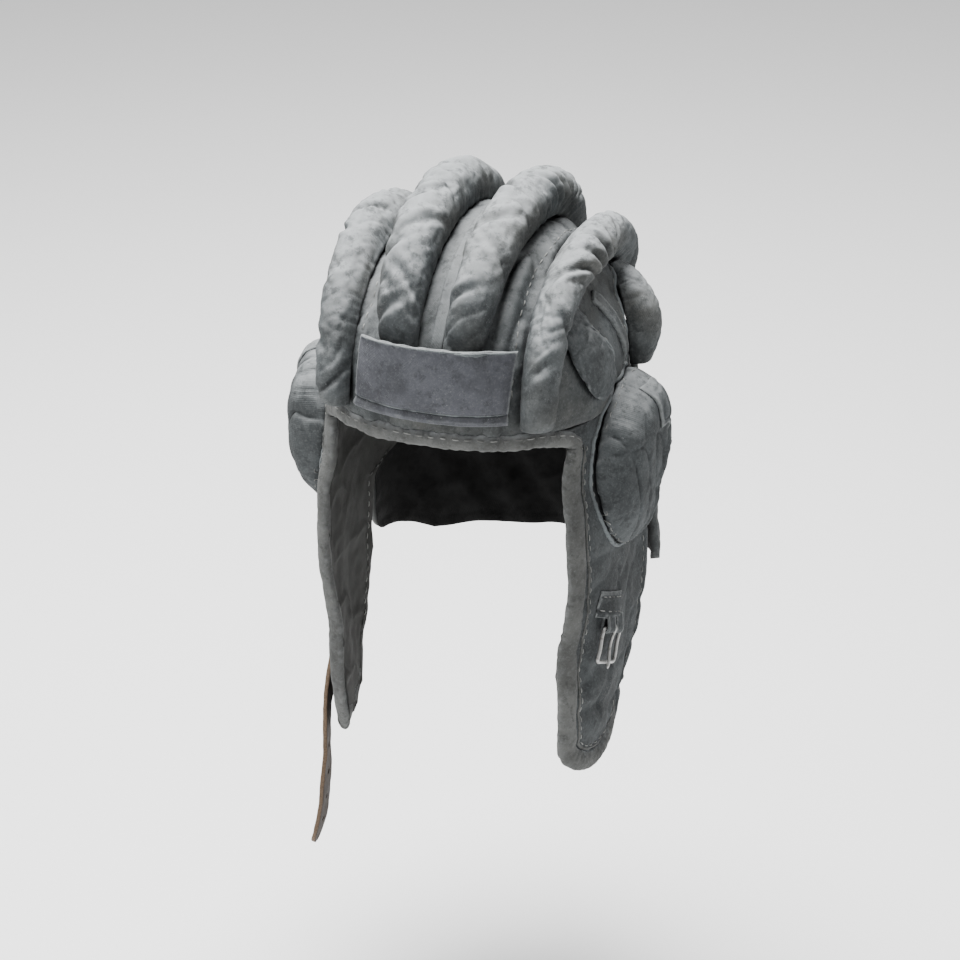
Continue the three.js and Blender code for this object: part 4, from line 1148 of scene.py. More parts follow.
def padded_rings(form, line, half_width, height, sides, seed, wrinkles=None, gather=0.9):
    """Rings of a stuffed roll: straight sides down to its seams, dents and gathers."""
    aside, out = stations(form, line)
    theta = 2 * math.pi * (arange(sides) + 0.5) / sides - math.pi / 2
    lower = sin(theta) < 0
    across = np.sign(cos(theta)) * abs(cos(theta)) ** where(lower, 0.45, 0.92)
    lift = maximum(sin(theta), -0.9)
    flare = 0.12 * ease(-0.55, -0.95, sin(theta))
    travel = travelled(line)
    place = (
        line[:, None]
        + aside[:, None] * (half_width[:, None] * across * (1 + flare))[..., None]
        + out[:, None] * (height[:, None] / 2 * (lift + 0.9))[..., None]
    )
    way = unit(
        aside[:, None] * (across / maximum(half_width[:, None], 1))[..., None]
        + out[:, None] * (maximum(lift, -0.1) / maximum(height[:, None] / 2, 1))[..., None]
    )
    angle = np.degrees(theta)[None, :]
    round_mm = np.radians(angle) * 14
    s = travel[:, None]
    top = ease(-0.35, 0.2, sin(theta))[None, :]
    # The wadding is lumpy, and the slack cloth over it creases slantwise, more in some places;
    # at the seams it is drawn into small pleats
    drift = s + 5 * noise(place, 22, seed + 5)
    patchy = 0.25 + 0.75 * ease(-0.4, 0.45, noise(place, 20, seed + 6))
    lumps = 0.7 * noise(place, 24, seed) + 0.4 * noise(place, 12, seed + 1)
    first = joined((drift + 0.5 * round_mm) / 10, round_mm / 20 + 0 * s)
    second = joined((drift - 0.8 * round_mm) / 13, round_mm / 26 + 0 * s)
    creases = 1.1 * crumple(first, 1, seed + 2) + 0.9 * crumple(second, 1, seed + 3)
    cross = creases * patchy + 0.5 * crumple(place, 6, seed + 7) + 0.26 * noise(place, 4, seed + 8)
    pleats = joined(s / 4.2, round_mm / 30)
    seam = ease(0.6, -0.3, sin(theta))[None, :]
    bend = 0.35 + 0.85 * hump(s / travel[-1] - 0.55, 0.3)
    gathers = gather * bend * seam * crumple(pleats, 1, seed + 4)
    moved = (lumps + cross) * top + gathers
    if wrinkles is not None:
        for k in range(len(wrinkles["share"])):
            w = {column: wrinkles[column][k] for column in wrinkles}
            # side runs from 0 at the left foot over 90 at the top to 180 at the right foot
            from_side = (180 - w["side"]) - angle
            off = s - w["share"] * travel[-1] - w["slant"] * from_side / 90
            groove = -hump(off, w["width"]) + 0.45 * hump(abs(off) - 2 * w["width"], w["width"])
            moved = moved + w["depth"] * groove * hump(from_side, w["reach"])
    tame = clip(minimum(s, travel[-1] - s) / 8, 0.15, 1)
    return place + way * (moved * tame)[..., None]


def make_rolls(context):
    form, trim, looks = tools(context)
    pads = context.scene.helmet_padding
    crown = Surface(bpy.data.objects["crown_cloth"])
    kinds = (
        ("inner_roll", INNER_ROLL, INNER_SQUEEZE * mm(pads.inner_width), mm(pads.inner_height)),
        ("outer_roll", OUTER_ROLL, OUTER_SQUEEZE * mm(pads.outer_width), mm(pads.outer_height)),
    )
    seed = 30
    for kind, rows, width, height in kinds:
        for side, hand in SIDES:
            seed += 10
            name = f"{kind}_{hand}"
            turn = linspace(rows["turn"][0], rows["turn"][-1], 230)
            across = side * form.width * read(rows, "turn", turn, "across")
            line = form.crown_across(across, np.radians(turn), form.wall + 0.2)
            half = width / 2 * read(rows, "turn", turn, "width")
            tall = height * read(rows, "turn", turn, "height")
            rings = padded_rings(form, line, half, tall, 72, seed, ROLL_WRINKLES[name])
            roll = tube_mesh(name.replace("roll", "roll_cloth"), rings)
            dress(roll, looks["roll cotton"], name)
            roll_seams(form, trim, looks, crown, name, line, half)


def roll_seams(form, trim, looks, crown, name, line, half):
    """A row of stitches beside a foot of the roll, on the sides where it shows."""
    keep = slice(14, -14)
    aside, out = stations(form, line)
    way = 1 if name == "outer_roll_right" else -1
    stitched = line + aside * (way * (half * 1.06 + 2.2))[:, None]
    sew(f"{name}_stitches", crown, stitched[keep], out[keep], looks, trim, 6)


class HELMET_OT_rolls(bpy.types.Operator):
    """Makes the four long rolls over the crown"""

    bl_idname = "helmet.rolls"
    bl_label = "Long rolls"

    def execute(self, context):
        make_rolls(context)
        return {"FINISHED"}


def make_side_rolls(context):
    form, trim, looks = tools(context)
    pads = context.scene.helmet_padding
    crown = Surface(bpy.data.objects["crown_cloth"])
    seed = 90
    for kind, rows in (("temple_roll", TEMPLE_ROLL), ("rear_roll", REAR_ROLL)):
        for side, hand in SIDES:
            seed += 10
            count = 80
            line = side_line(form, rows, side, form.wall + 0.2, count)
            spread = dict(rows, k=arange(len(rows["along"]), dtype=float))
            at = linspace(0, len(rows["along"]) - 1, count + 1)
            half = mm(pads.side_width) / 2 * read(spread, "k", at, "width")
            tall = mm(pads.side_height) * read(spread, "k", at, "height")
            rings = padded_rings(form, line, half, tall, 56, seed, None, 0.7)
            roll = tube_mesh(f"{kind}_cloth_{hand}", rings)
            look = looks["roll cotton" if kind == "rear_roll" else "pad cotton"]
            name = f"{kind}_{hand}"
            dress(roll, look, name)
            aside, out = stations(form, line)
            rear = aside * (side if kind == "rear_roll" else -side)
            beside = line + rear * (half * 1.05 + 0.9)[:, None]
            seam_cord(f"{name}_seam", crown, beside, out, looks["frayed edge"], mm(trim.cord) * 1.7, 7)
            beside = line + rear * (half * 1.05 + 2.9)[:, None]
            sew(f"{name}_stitches", crown, beside, out, looks, trim, 8)


class HELMET_OT_side_rolls(bpy.types.Operator):
    """Makes the short rolls on the sides of the crown"""

    bl_idname = "helmet.side_rolls"
    bl_label = "Side rolls"

    def execute(self, context):
        make_side_rolls(context)
        return {"FINISHED"}


def dents(rows, y, z, rim):
    """How far a table of dents moves the cloth outwards at each place."""
    moved = np.zeros(np.broadcast(y, z).shape)
    for k in range(len(rows["along"])):
        turn = math.radians(rows["turn"][k])
        along = y - rows["along"][k]
        down = (rim - z) - rows["down"][k]
        level = along * math.cos(turn) + down * math.sin(turn)
        upright = down * math.cos(turn) - along * math.sin(turn)
        spot = hump(level, rows["half_along"][k]) * hump(upright, rows["half_down"][k])
        moved = moved - rows["depth"][k] * spot
    return moved


def make_flaps(context):
    form, trim, looks = tools(context)
    for side, hand in SIDES:
        make_flap(form, trim, looks, side, hand)


def drawn_in(form, z, side):
    """How far the right flap's rear edge is drawn in, half-way down."""
    return 0 if side > 0 else 9 * hump(z - form.rim + 140, 42)


def make_flap(form, trim, looks, side, hand):
    inset = mm(trim.binding_width) * 0.35
    end = form.flap_end
    bottom = form.rim - form.drop + inset + 0.4
    straight, curl, columns = 120, 30, 84
    z = concatenate(
        [
            linspace(form.rim - 0.3, end, straight, endpoint=False),
            end + (bottom - end) * sin(linspace(0, math.pi / 2, curl + 1)),
        ]
    )[:, None]
    u = linspace(0, 1, columns)[None, :]
    front, rear = form.flap_edges(z, inset, inset * clip((end - z) / 22 + 1, 0, 1))
    rear = rear - drawn_in(form, z, side)
    # The upper front corner reaches under the bend of the binding
    front = front - 15 * clip((z - form.rim + 9) / 9, 0, 1)
    y = front + (rear - front) * u
    z = np.broadcast_to(z, y.shape)
    rows = LEFT_FLAP_DENTS if side > 0 else RIGHT_FLAP_DENTS
    place = joined(y, z)
    folds = dents(rows, y, z, form.rim)
    wide = joined(y / 26, z / 44)
    folds = folds + 1.6 * noise(wide, 1, 50 + side) + 1.6 * crumple(place, 24, 52 + side)
    folds = folds + 0.35 * noise(place, 6, 54 + side)
    hang = ease(form.rim, form.rim - 20, z)
    folds = folds * (0.2 + 0.8 * hang)
    hem = rear - y
    edge = ease(mm(trim.hem) + 0.6, mm(trim.hem) - 0.4, hem)
    below = ease(form.rim - 80, form.rim - 96, z)
    thick = 0.9 * edge * below
    groove = -0.6 * hump(hem - mm(trim.hem) - 1, 1.0) * below
    wall = form.flap_wall
    inner = form.side_wall(y, z, 0, side)
    outer = form.side_wall(y, z, wall, side)
    out = form.outward(outer)
    quilt = 0.4 * noise(place, 12, 56 + side)
    inner = inner + out * (folds - 0.5 * thick + 0.8 * quilt)[..., None]
    outer = outer + out * (folds + thick + groove)[..., None]
    cloth = sheet_mesh("side_flap_cloth_" + hand, inner, outer, lined=True)
    dress(cloth, looks["flap cotton"], "side_flap_" + hand)
    surface = Surface(cloth)
    height = linspace(form.rim - 92, end - 4, 90)
    _, rear = form.flap_edges(height, 0, 0)
    rear = rear - drawn_in(form, height, side)
    line = form.side_wall(rear - mm(trim.hem) - 1, height, wall, side)
    out = form.outward(line)
    sewn = [
        sew(f"flap_hem_stitches_{hand}", surface, line, out, looks, trim, 9),
        sew(f"flap_hem_stitches_inside_{hand}", surface, line - out * wall, -out, looks, trim, 10),
    ]


class HELMET_OT_flaps(bpy.types.Operator):
    """Makes the two side flaps and their hems"""

    bl_idname = "helmet.flaps"
    bl_label = "Side flaps"

    def execute(self, context):
        make_flaps(context)
        return {"FINISHED"}


def nape_sag(x):
    """How far the lower edge hangs above or below level."""
    return 4 * ease(-20, 30, x) - 10 * hump(x + 66, 26)


def make_nape(context):
    form, trim, looks = tools(context)
    sizes = form.sizes
    stand = form.wall + form.gap
    wall = mm(sizes.nape_wall)
    top = form.rim + mm(sizes.nape_lap)
    bottom = form.rim - mm(sizes.nape_drop)
    corner = mm(sizes.nape_corner)
    v = linspace(0, 1, 100)[:, None]
    u = linspace(0, 1, 150)[None, :]
    z = top + (bottom - top) * v

    def start_at(z):
        part = clip(1 - (z - bottom) / corner, 0, 1)
        edge = form.side_wall(mm(sizes.nape_side), z, stand, 1)
        cut = corner * (1 - np.sqrt(1 - part**2)) / norm(edge, axis=-1)
        return np.arctan2(edge[..., 1], edge[..., 0]) + cut

    start = start_at(z)
    phi = start + (math.pi - 2 * start) * u
    inner = form.wall_toward(phi, z, stand)
    outer = form.wall_toward(phi, z, stand + wall)
    out = form.outward(outer)
    x = outer[..., 0]
    hang = ease(form.rim, form.rim - 60, z)
    # Long diagonal folds run from the corners up towards the middle
    z = outer[..., 2]
    slope = joined((x + 0.7 * (z - form.rim)) / 17, z / 70)
    other = joined((x - 0.5 * (z - form.rim)) / 24, z / 60)
    folds = 2.2 * noise(slope, 1, 61) + 1.6 * crumple(other, 1, 62) + 0.5 * noise(outer, 8, 63)
    folds = folds * hang
    near = minimum(z - bottom, minimum(u, 1 - u) * norm(outer[:, 0] - outer[:, -1], axis=-1)[:, None])
    hem = 0.8 * ease(mm(trim.hem), mm(trim.hem) - 1, near) - 0.5 * hump(near - mm(trim.hem) - 1, 1)
    inner = inner + out * (folds - 0.4 * hem)[..., None]
    outer = outer + out * (folds + hem)[..., None]
    sag = nape_sag(x) * ease(-60, -150, z - form.rim)
    inner[..., 2] += sag
    outer[..., 2] += sag
    cloth = sheet_mesh("nape_flap_cloth", inner, outer, lined=True)
    dress(cloth, looks["crown cotton"], "nape_flap")
    surface = Surface(cloth)
    hem_line = mm(trim.hem) + 1
    height = np.full(90, bottom + hem_line)
    first = start_at(bottom + hem_line)
    phi = linspace(first + 0.03, math.pi - first - 0.03, 90)
    line = form.wall_toward(phi, height, stand + wall)
    line[:, 2] += nape_sag(line[:, 0])
    sewn = [sew("nape_hem_stitches", surface, line, form.outward(line), looks, trim, 11)]
    height = np.full(120, form.rim + mm(sizes.nape_lap) - 3)
    first = start_at(height[0])
    phi = linspace(first + 0.03, math.pi - first - 0.03, 120)
    line = form.wall_toward(phi, height, stand + wall)
    sewn.append(sew("nape_seam_stitches", surface, line, form.outward(line), looks, trim, 12))


class HELMET_OT_nape(bpy.types.Operator):
    """Makes the nape flap with its folds and hem"""

    bl_idname = "helmet.nape"
    bl_label = "Nape flap"

    def execute(self, context):
        make_nape(context)
        return {"FINISHED"}


def binding_half(form, trim, side, inset):
    """One half of the tube's line, from near the middle of the brow round the flap's end."""
    phi = -math.pi / 2 + (CORNER_ANGLE + math.pi / 2) * array([0.16, 0.32, 0.48, 0.64, 0.8])
    brow = form.wall_toward(phi, form.brow(phi), form.wall / 2)
    brow[:, 0] *= side
    end = form.flap_end
    wall = form.flap_wall
    z = linspace(form.rim - mm(trim.binding_width), end, 14)
    front, _ = form.flap_edges(z, inset, inset)
    down = form.side_wall(front, z, wall / 2, side)
    front, rear = form.flap_edges(end, inset, inset)
    angle = math.pi * arange(1, 10) / 10
    y = front + (rear - front) * (1 - cos(angle)) / 2
    around = form.side_wall(y, end - (form.round_end - inset) * sin(angle), wall / 2, side)
    return concatenate([brow, down, around])


def make_binding(context):
    form, trim, looks = tools(context)
    width, thick = mm(trim.binding_width), mm(trim.binding_thick)
    left = binding_half(form, trim, 1, width / 2)
    right = binding_half(form, trim, -1, width / 2)
    front = array([-math.pi / 2])
    middle = form.wall_toward(front, form.brow(front), form.wall / 2)
    line = smooth_line(concatenate([left[::-1], middle, right]), 900)
    aside, out = stations(form, line)
    sides = 32
    theta = circle(sides)
    travel = travelled(line)
    s = travel[:, None]
    pitch = mm(trim.stitch + trim.stitch_gap)
    pinch = cos(2 * math.pi * s / pitch)
    # The stitches pull the tube in on the side of the helmet's cloth
    near_cloth = ease(-0.2, 0.8, -cos(theta)) + ease(-0.2, 0.8, cos(theta))
    chart = joined(s / 5.5, theta[None, :] * 1.4)
    low = ease(form.rim - 6, form.rim - 30, line[:, 2])[:, None]
    moved = (0.16 - 0.1 * low) * pinch * near_cloth + (0.35 - 0.2 * low) * crumple(chart, 1, 71)
    wider = 1.1 + 0.25 * ease(form.rim - 6, form.rim - 40, line[:, 2])
    inward = towards_cloth(form, line, aside) * ((wider - 1) * width / 2)[:, None]
    slim = np.sqrt(clip(minimum(travel, travel[-1] - travel) / 26, 0.03, 1))
    across = (slim * wider)[:, None] * width / 2 * cos(theta)
    place = (line + inward)[:, None] + aside[:, None] * across[..., None]
    place = place + out[:, None] * (slim[:, None] * thick / 2 * sin(theta))[..., None]
    moved = moved + 0.5 * noise(place, 9, 72) + (0.3 - 0.18 * low) * noise(place, 4, 73)
    tip = ease(form.rim - form.drop + 40, form.rim - form.drop + 10, place[..., 2])
    pleats = joined(s / 4, theta[None, :] * 0.8)
    moved = (moved + 0.7 * tip * crumple(pleats, 1, 74)) * slim[:, None]
    way = unit(
        aside[:, None] * (cos(theta) / width)[:, None] + out[:, None] * (sin(theta) / thick)[:, None]
    )
    binding = tube_mesh("face_binding_cloth", place + way * moved[..., None])
    dress(binding, looks["binding cotton"], "face_binding", slot="binding_cloth")
    sew_binding(form, trim, looks, binding, line + inward, wider, aside, out)


def sew_binding(form, trim, looks, binding, line, wider, aside, out):
    """The stitched raised seam along the tube's inner side."""
    flaps = [bpy.data.objects["side_flap_cloth_" + hand] for hand in ("left", "right")]
    crown = bpy.data.objects["crown_cloth"]
    tube = Surface(binding)
    cloth = Surface(*flaps, crown, binding)
    half = (mm(trim.binding_width) / 2 * wider)[:, None]
    inward = towards_cloth(form, line, aside)
    on_tube = line + inward * 0.42 * half
    brow = line[:, 2] > form.rim - 16
    sew("binding_stitches", tube, on_tube[brow], out[brow], looks, trim, 13)
    beside = line + inward * (half + 1.6)
    wide = line[:, 2] < form.rim - 12
    for side, hand in SIDES:
        keep = wide & (side * line[:, 0] > 0)
        ridge = beside[keep]
        look = looks["binding cotton"]
        seam_cord(f"flap_seam_{hand}", cloth, ridge, out[keep], look, mm(trim.cord), 14, "binding_cloth")
        second = (line + inward * (half + 3.6))[keep]
        sew(f"flap_seam_stitches_{hand}", cloth, second, out[keep], looks, trim, 15)


def towards_cloth(form, line, aside):
    """The direction across the tube that points to the cloth it binds."""
    height = maximum(line[:, 2], form.flap_end)
    front, rear = form.flap_edges(height, 0, 0)
    towards = joined(0, (front + rear) / 2 - line[:, 1], height - line[:, 2])
    towards[line[:, 2] > line[:, 2].max() - 14] = (0, 0, 1)
    return aside * np.sign((aside * towards).sum(axis=1, keepdims=True))


class HELMET_OT_binding(bpy.types.Operator):
    """Makes the padded tube round the face opening"""

    bl_idname = "helmet.binding"
    bl_label = "Binding"

    def execute(self, context):
        make_binding(context)
        return {"FINISHED"}


def narrowed(x, v):
    """The panel's right end leans in towards its top; v runs down from its upper edge."""
    return x * (1 - 0.14 * (1 - v) * (x < 0))


def on_brow(form, x, z):
    """The front of the crown's cloth at a place across and a height."""
    width, front, square = form.plan(z, form.wall, True)
    y = -front * (1 - (abs(x) / width) ** square) ** (1 / square)
    return joined(x, y, z)


def make_panel(context):
    form, trim, looks = tools(context)
    half = PANEL_HALF_WIDTH
    top, bottom = form.rim + PANEL_TOP, form.rim + PANEL_BOTTOM
    v = linspace(0, 1, 70)[:, None]
    u = linspace(-1, 1, 130)[None, :]
    z = top + (bottom - top) * v + 0 * u
    x = narrowed(half * u, v)
    tall = mm(trim.panel_stand)
    edge = tall * (1 - 0.45 * abs(u) ** 4)
    stand = edge + (0.5 - edge) * v
    base = on_brow(form, x, z)
    out = form.outward(base)
    wall = mm(trim.panel_wall)
    chart = joined(x / 14, z / 9)
    waves = 0.5 * noise(chart, 1, 81) + 0.25 * noise(base, 5, 82)
    # A rib of folded cloth runs along the lower edge, with a sharp fold above it
    low = (z - bottom)
    rib = 1.7 * hump(low - 2.4 - 0.4 * noise(base, 14, 83), 2.0) - 1.0 * hump(low - 6.2, 0.9)
    lip = 0.5 * hump(top - z - 0.8, 1.0)
    fray = 0.5 * noise(base, 2.4, 84) * ease(4, 0, top - z)
    thickness = wall * (1 - 0.25 * ease(1.5, 0, top - z))
    shift = np.zeros_like(base)
    shift[..., 2] = 0.6 * noise(base, 5, 85) * ease(3, 0, top - z)
    inner = base + out * (stand + waves)[..., None] + shift
    outer = base + out * (stand + waves + thickness + rib + lip + fray)[..., None] + shift
    panel = sheet_mesh("forehead_panel_cloth", inner, outer, lined=True)
    dress(panel, looks["panel cloth"], "forehead_panel", slot="panel_cloth")
    surface = Surface(panel)
    count = 100
    pieces, edges = [], []
    for height, name, thick in ((top - 0.9, "panel_top_edge", 0.75), (bottom + 6.6, "panel_fold_edge", 0.6)):
        x = narrowed(linspace(-half + 1.5, half - 1.5, count), (top - height) / (top - bottom))
        line = on_brow(form, x, np.full(count, height))
        out = form.outward(line)
        reach = tall * (height - bottom) / (top - bottom)
        line = line + out * reach
        edges.append((line, out))
        cord = mm(trim.cord) * thick
        pieces.append(seam_cord(name, surface, line, out, looks["frayed edge"], cord, 16, "panel_cloth", 0.6))
    # A loose thread over the torn part of the upper edge
    torn = slice(int(0.68 * count), int(0.86 * count))
    line, out, cord = edges[0][0][torn] - [0, 0, 0.7], edges[0][1][torn], mm(trim.cord)
    look = looks["frayed edge"]
    pieces.append(seam_cord("panel_torn_thread", surface, line, out, look, cord, 17, "panel_cloth", 0.8))


class HELMET_OT_panel(bpy.types.Operator):
    """Makes the forehead panel and its frayed edges"""

    bl_idname = "helmet.panel"
    bl_label = "Forehead panel"

    def execute(self, context):
        make_panel(context)
        return {"FINISHED"}


def pad_rise(pads, out, angle, side):
    depth = mm(pads.left_depth if side > 0 else pads.right_depth)
    lean = 0.5 if side > 0 else 0.25
    return depth * (1 + lean * out * sin(angle)) * (1 - out**4) ** 0.6


def pad_place(form, pads, out, angle, rise, side):
    y = mm(pads.pad_along) + mm(pads.pad_half_length) * out * cos(angle)
    z = form.rim - mm(pads.pad_drop) + mm(pads.pad_half_height) * out * sin(angle)
    return form.side_wall(y, z, form.wall + form.gap + rise, side)


def pad_mesh(form, pads, side, name):
    """A closed pad, a little smaller than it will be when filled."""
    spokes, rings = 60, 16
    angle = circle(spokes)
    out = sin(linspace(0, math.pi / 2, rings + 1))[1:, None]
    layers = []
    for face in (0, 1):
        rise = face * (mm(pads.pad_welt) + 0.98 * pad_rise(pads, out, angle, side))
        layers.append(pad_place(form, pads, out, angle, rise - 1.2 * (1 - face), side))
    rise = mm(pads.pad_welt) + 0.98 * pad_rise(pads, 0.0, 0.0, side)
    middle = [pad_place(form, pads, 0.0, 0.0, height, side) for height in (-1.2, rise)]
    count = rings * spokes
    quads = grid_faces(rings, spokes, wrap=True)
    j = arange(spokes)
    near = joined((j + 1) % spokes, j, 2 * count)
    far = joined(j + count, (j + 1) % spokes + count, 2 * count + 1)
    rim = (rings - 1) * spokes
    wall = joined(rim + j, rim + (j + 1) % spokes, rim + count + (j + 1) % spokes, rim + count + j)
    points = concatenate([layers[0].reshape(-1, 3), layers[1].reshape(-1, 3), middle])
    return add_mesh(name, points, [quads, quads[:, ::-1] + count, near, far, wall])


def fill_pad(context, obj, pads, form):
    """Fills the pad by a cloth simulation with pressure, its back held on the flap."""
    remesh = obj.modifiers.new("grain", "REMESH")
    remesh.mode = "VOXEL"
    remesh.voxel_size = pads.voxel
    bake(context, obj)
    start, _ = read_points(obj.data)
    pins = obj.vertex_groups.new(name="held")
    level = form.level(start, form.wall + form.gap)
    held = np.nonzero(level < 1.015)[0]
    pins.add(held.tolist(), 1.0, "REPLACE")
    cloth = obj.modifiers.new("filling", "CLOTH")
    cloth.settings.quality = 6
    cloth.settings.mass = 0.25
    cloth.settings.vertex_group_mass = "held"
    cloth.settings.use_pressure = True
    cloth.settings.uniform_pressure_force = pads.pressure
    cloth.settings.effector_weights.gravity = 0
    cloth.settings.tension_stiffness = 14
    cloth.settings.bending_stiffness = 0.6
    for number in range(1, 21):
        context.scene.frame_set(number)
    bake(context, obj)
    context.scene.frame_set(1)
    move = read_points(obj.data)[0] - start
    far = norm(move, axis=1, keepdims=True)
    move = move * minimum(1, mm(pads.travel) / maximum(far, 1e-9))
    move_points(obj, start + move)
    obj.vertex_groups.clear()
    smooth = obj.modifiers.new("smooth", "SUBSURF")
    smooth.levels = smooth.render_levels = 2
    bake(context, obj)


def crease_pad(obj, form, pads, seed):
    """Folds of the slack cloth: long ones down the pad, finer ones across it."""
    points, normals = read_points(obj.data)
    centre_z = form.rim - mm(pads.pad_drop)
    y, z = points[:, 1] - mm(pads.pad_along), points[:, 2] - centre_z
    outness = np.hypot(y / mm(pads.pad_half_length), z / mm(pads.pad_half_height))
    standing = ease(1.01, 1.12, form.level(points, form.wall + form.gap))
    long = joined((y + 0.25 * z) / 15, z / 42)
    fine = joined((y - 0.4 * z) / 8, (z + 0.3 * y) / 20)
    moved = 1.5 * noise(long, 1, seed) + 2.0 * crumple(long * 1.2, 1, seed + 1)
    moved = moved + 0.6 * crumple(fine, 1, seed + 2) + 0.4 * noise(points, 7, seed + 3)
    # A sharp upright fold down the middle of the outer face and a dent beside it
    fold = y - 12 - 0.22 * z - 2 * noise(joined(z, z * 0), 20, seed + 4)
    moved = moved + 2.2 * hump(fold, 2.2) * ease(30, 0, z) - 2.0 * hump(fold - 6, 3.6)
    # The seam draws the cloth in all round, in small pleats
    angle = np.arctan2(z, y)
    pleats = joined(angle * 11, outness * 2)
    moved = moved + 0.5 * ease(0.75, 0.95, outness) * crumple(pleats, 1, seed + 5)
    points = points + normals * (moved * standing)[:, None]
    move_points(obj, points)
    obj.data.update()
    add_values(obj, "cloth", points[:, [1, 2, 0]] * array([1, 1, 0]))


def make_ear_pads(context):
    form, trim, looks = tools(context)
    pads = context.scene.helmet_padding
    for side, hand in SIDES:
        pad = pad_mesh(form, pads, side, "ear_pad_cloth_" + hand)
        fill_pad(context, pad, pads, form)
        crease_pad(pad, form, pads, 100 + side)
        pad.data.shade_smooth()
        dress(pad, looks["pad cotton"], "ear_pad_" + hand)
        pad_seams(form, pads, trim, looks, pad, side, hand)
        pad_cover(form, pads, trim, looks, pad, side, hand)


def pad_seams(form, pads, trim, looks, pad, side, hand):
    """Piping round the pad's edge with a row of stitches beside it."""
    flap = bpy.data.objects["side_flap_cloth_" + hand]
    crown = bpy.data.objects["crown_cloth"]
    ground = Surface(flap, crown, pad)
    angle = np.radians(linspace(70, 330, 160))
    edge = pad_place(form, pads, 1.015, angle, 0.0, side)
    out = form.outward(edge)
    seam_cord("ear_piping_" + hand, ground, edge, out, looks["frayed edge"], mm(trim.cord) * 1.6, 18)
    inner = pad_place(form, pads, 0.975, angle, 0.0, side)
    sew("ear_stitches_" + hand, ground, inner, form.outward(inner), looks, trim, 19)


def pad_cover(form, pads, trim, looks, pad, side, hand):
    """The cover over the mouth of the pocket, on the pad's upper rear part."""
    u = linspace(0, 1, 60)[None, :]
    v = linspace(0, 1, 50)[:, None]
    angle = np.radians(-12 + 112 * u) + 0 * v
    out = 0.4 + 0.5 * v + 0 * u
    base = pad_place(form, pads, out, angle, 0.0, side)
    way = form.outward(base)
    ground = Surface(pad)
    placed, _ = ground.outside(base, way, reach=60.0)
    for _ in range(4):
        placed[1:-1] = (placed[:-2] + placed[1:-1] + placed[2:]) / 3
        placed[:, 1:-1] = (placed[:, :-2] + placed[:, 1:-1] + placed[:, 2:]) / 3
    edge = minimum(minimum(u, 1 - u) * 60, minimum(v, 1 - v) * 28)
    hem = 0.35 * ease(3.4, 2.6, edge) - 0.35 * hump(edge - 4, 0.8) - 0.5 * ease(1.5, 0, edge)
    folds = 0.3 * noise(base, 14, 120 + side) + 0.3 * crumple(base, 12, 121 + side)
    inner = placed + way * (0.2 + folds)[..., None]
    outer = placed + way * (1.4 + folds + hem)[..., None]
    cover = sheet_mesh("ear_cover_cloth_" + hand, inner, outer)
    dress(cover, looks["pad cotton"], "ear_cover_" + hand)
    on = Surface(cover)
    line = outer[4:-4, 4]
    sewn = [sew("ear_cover_stitches_" + hand, on, line, way[4:-4, 4], looks, trim, 20)]


class HELMET_OT_ear_pads(bpy.types.Operator):
    """Makes the ear pads, their piping and their covers"""

    bl_idname = "helmet.ear_pads"
    bl_label = "Ear pads"

    def execute(self, context):
        make_ear_pads(context)
        return {"FINISHED"}


class BuckleSeat:
    """Places and directions at the buckle, in millimetres from the middle of its top bar."""

    def __init__(self, form):
        self.bar = 1000 * array(BUCKLE_JOINT["pos_m"])
        self.across = -unit(array(BUCKLE_JOINT["axis"], float))
        out = form.outward(self.bar)
        self.out = unit(out - self.across * (out @ self.across))
        down = np.cross(self.across, self.out)
        self.down = -down if down[2] > 0 else down

    def at(self, across, down, out):
        axes = np.stack([self.across, self.down, self.out])
        return self.bar + joined(across, down, out) @ axes


def wire_rings(line, normal, radius, sides, closed):
    """Rings of a round wire along a line; normal is a direction off the line's plane."""
    if closed:
        along = unit(np.roll(line, -1, axis=0) - np.roll(line, 1, axis=0))
    else:
        along = unit(np.gradient(line, axis=0))
    aside = unit(np.cross(along, normal))
    return round_rings(line, aside, unit(np.cross(aside, along)), radius, sides)


def make_buckle(context):
    form, trim, looks = tools(context)
    seat = BuckleSeat(form)
    make_frame(seat, trim, looks)
    make_tongue(seat, trim, looks)
    make_loop(seat, trim, looks)
    make_patch(form, seat, trim, looks)


def make_frame(seat, trim, looks):
    wire = mm(trim.wire)
    half = mm(trim.buckle_width) / 2 - wire / 2
    low = mm(trim.buckle_height) - wire
    corner = mm(trim.buckle_corner)
    points = []
    corners = ((1, corner, -90), (1, low - corner, 0), (-1, low - corner, 90), (-1, corner, 180))
    for hand, down, start in corners:
        angle = np.radians(start + linspace(0, 90, 9))
        across = hand * (half - corner) + corner * cos(angle)
        points.append(joined(across, down + corner * sin(angle)))
    flat = concatenate(points)
    flat = concatenate([flat, flat[:1]])
    travel = travelled(flat)
    at = linspace(0, travel[-1], 141)[:-1]
    across = np.interp(at, travel, flat[:, 0])
    down = np.interp(at, travel, flat[:, 1])
    # The bars of bent wire are never quite straight
    free = ease(2, 6, down)
    bow = 0.35 * sin(down * 0.3 + across * 0.2) * free
    line = seat.at(across + bow * 0.6, down, bow * 0.5)
    rings = wire_rings(line, seat.out, wire / 2, 14, True)
    obj = tube_mesh("buckle_wire", rings, closed=True)
    dress(obj, looks["dull wire"], "buckle_frame", slot="wire", body="buckle")


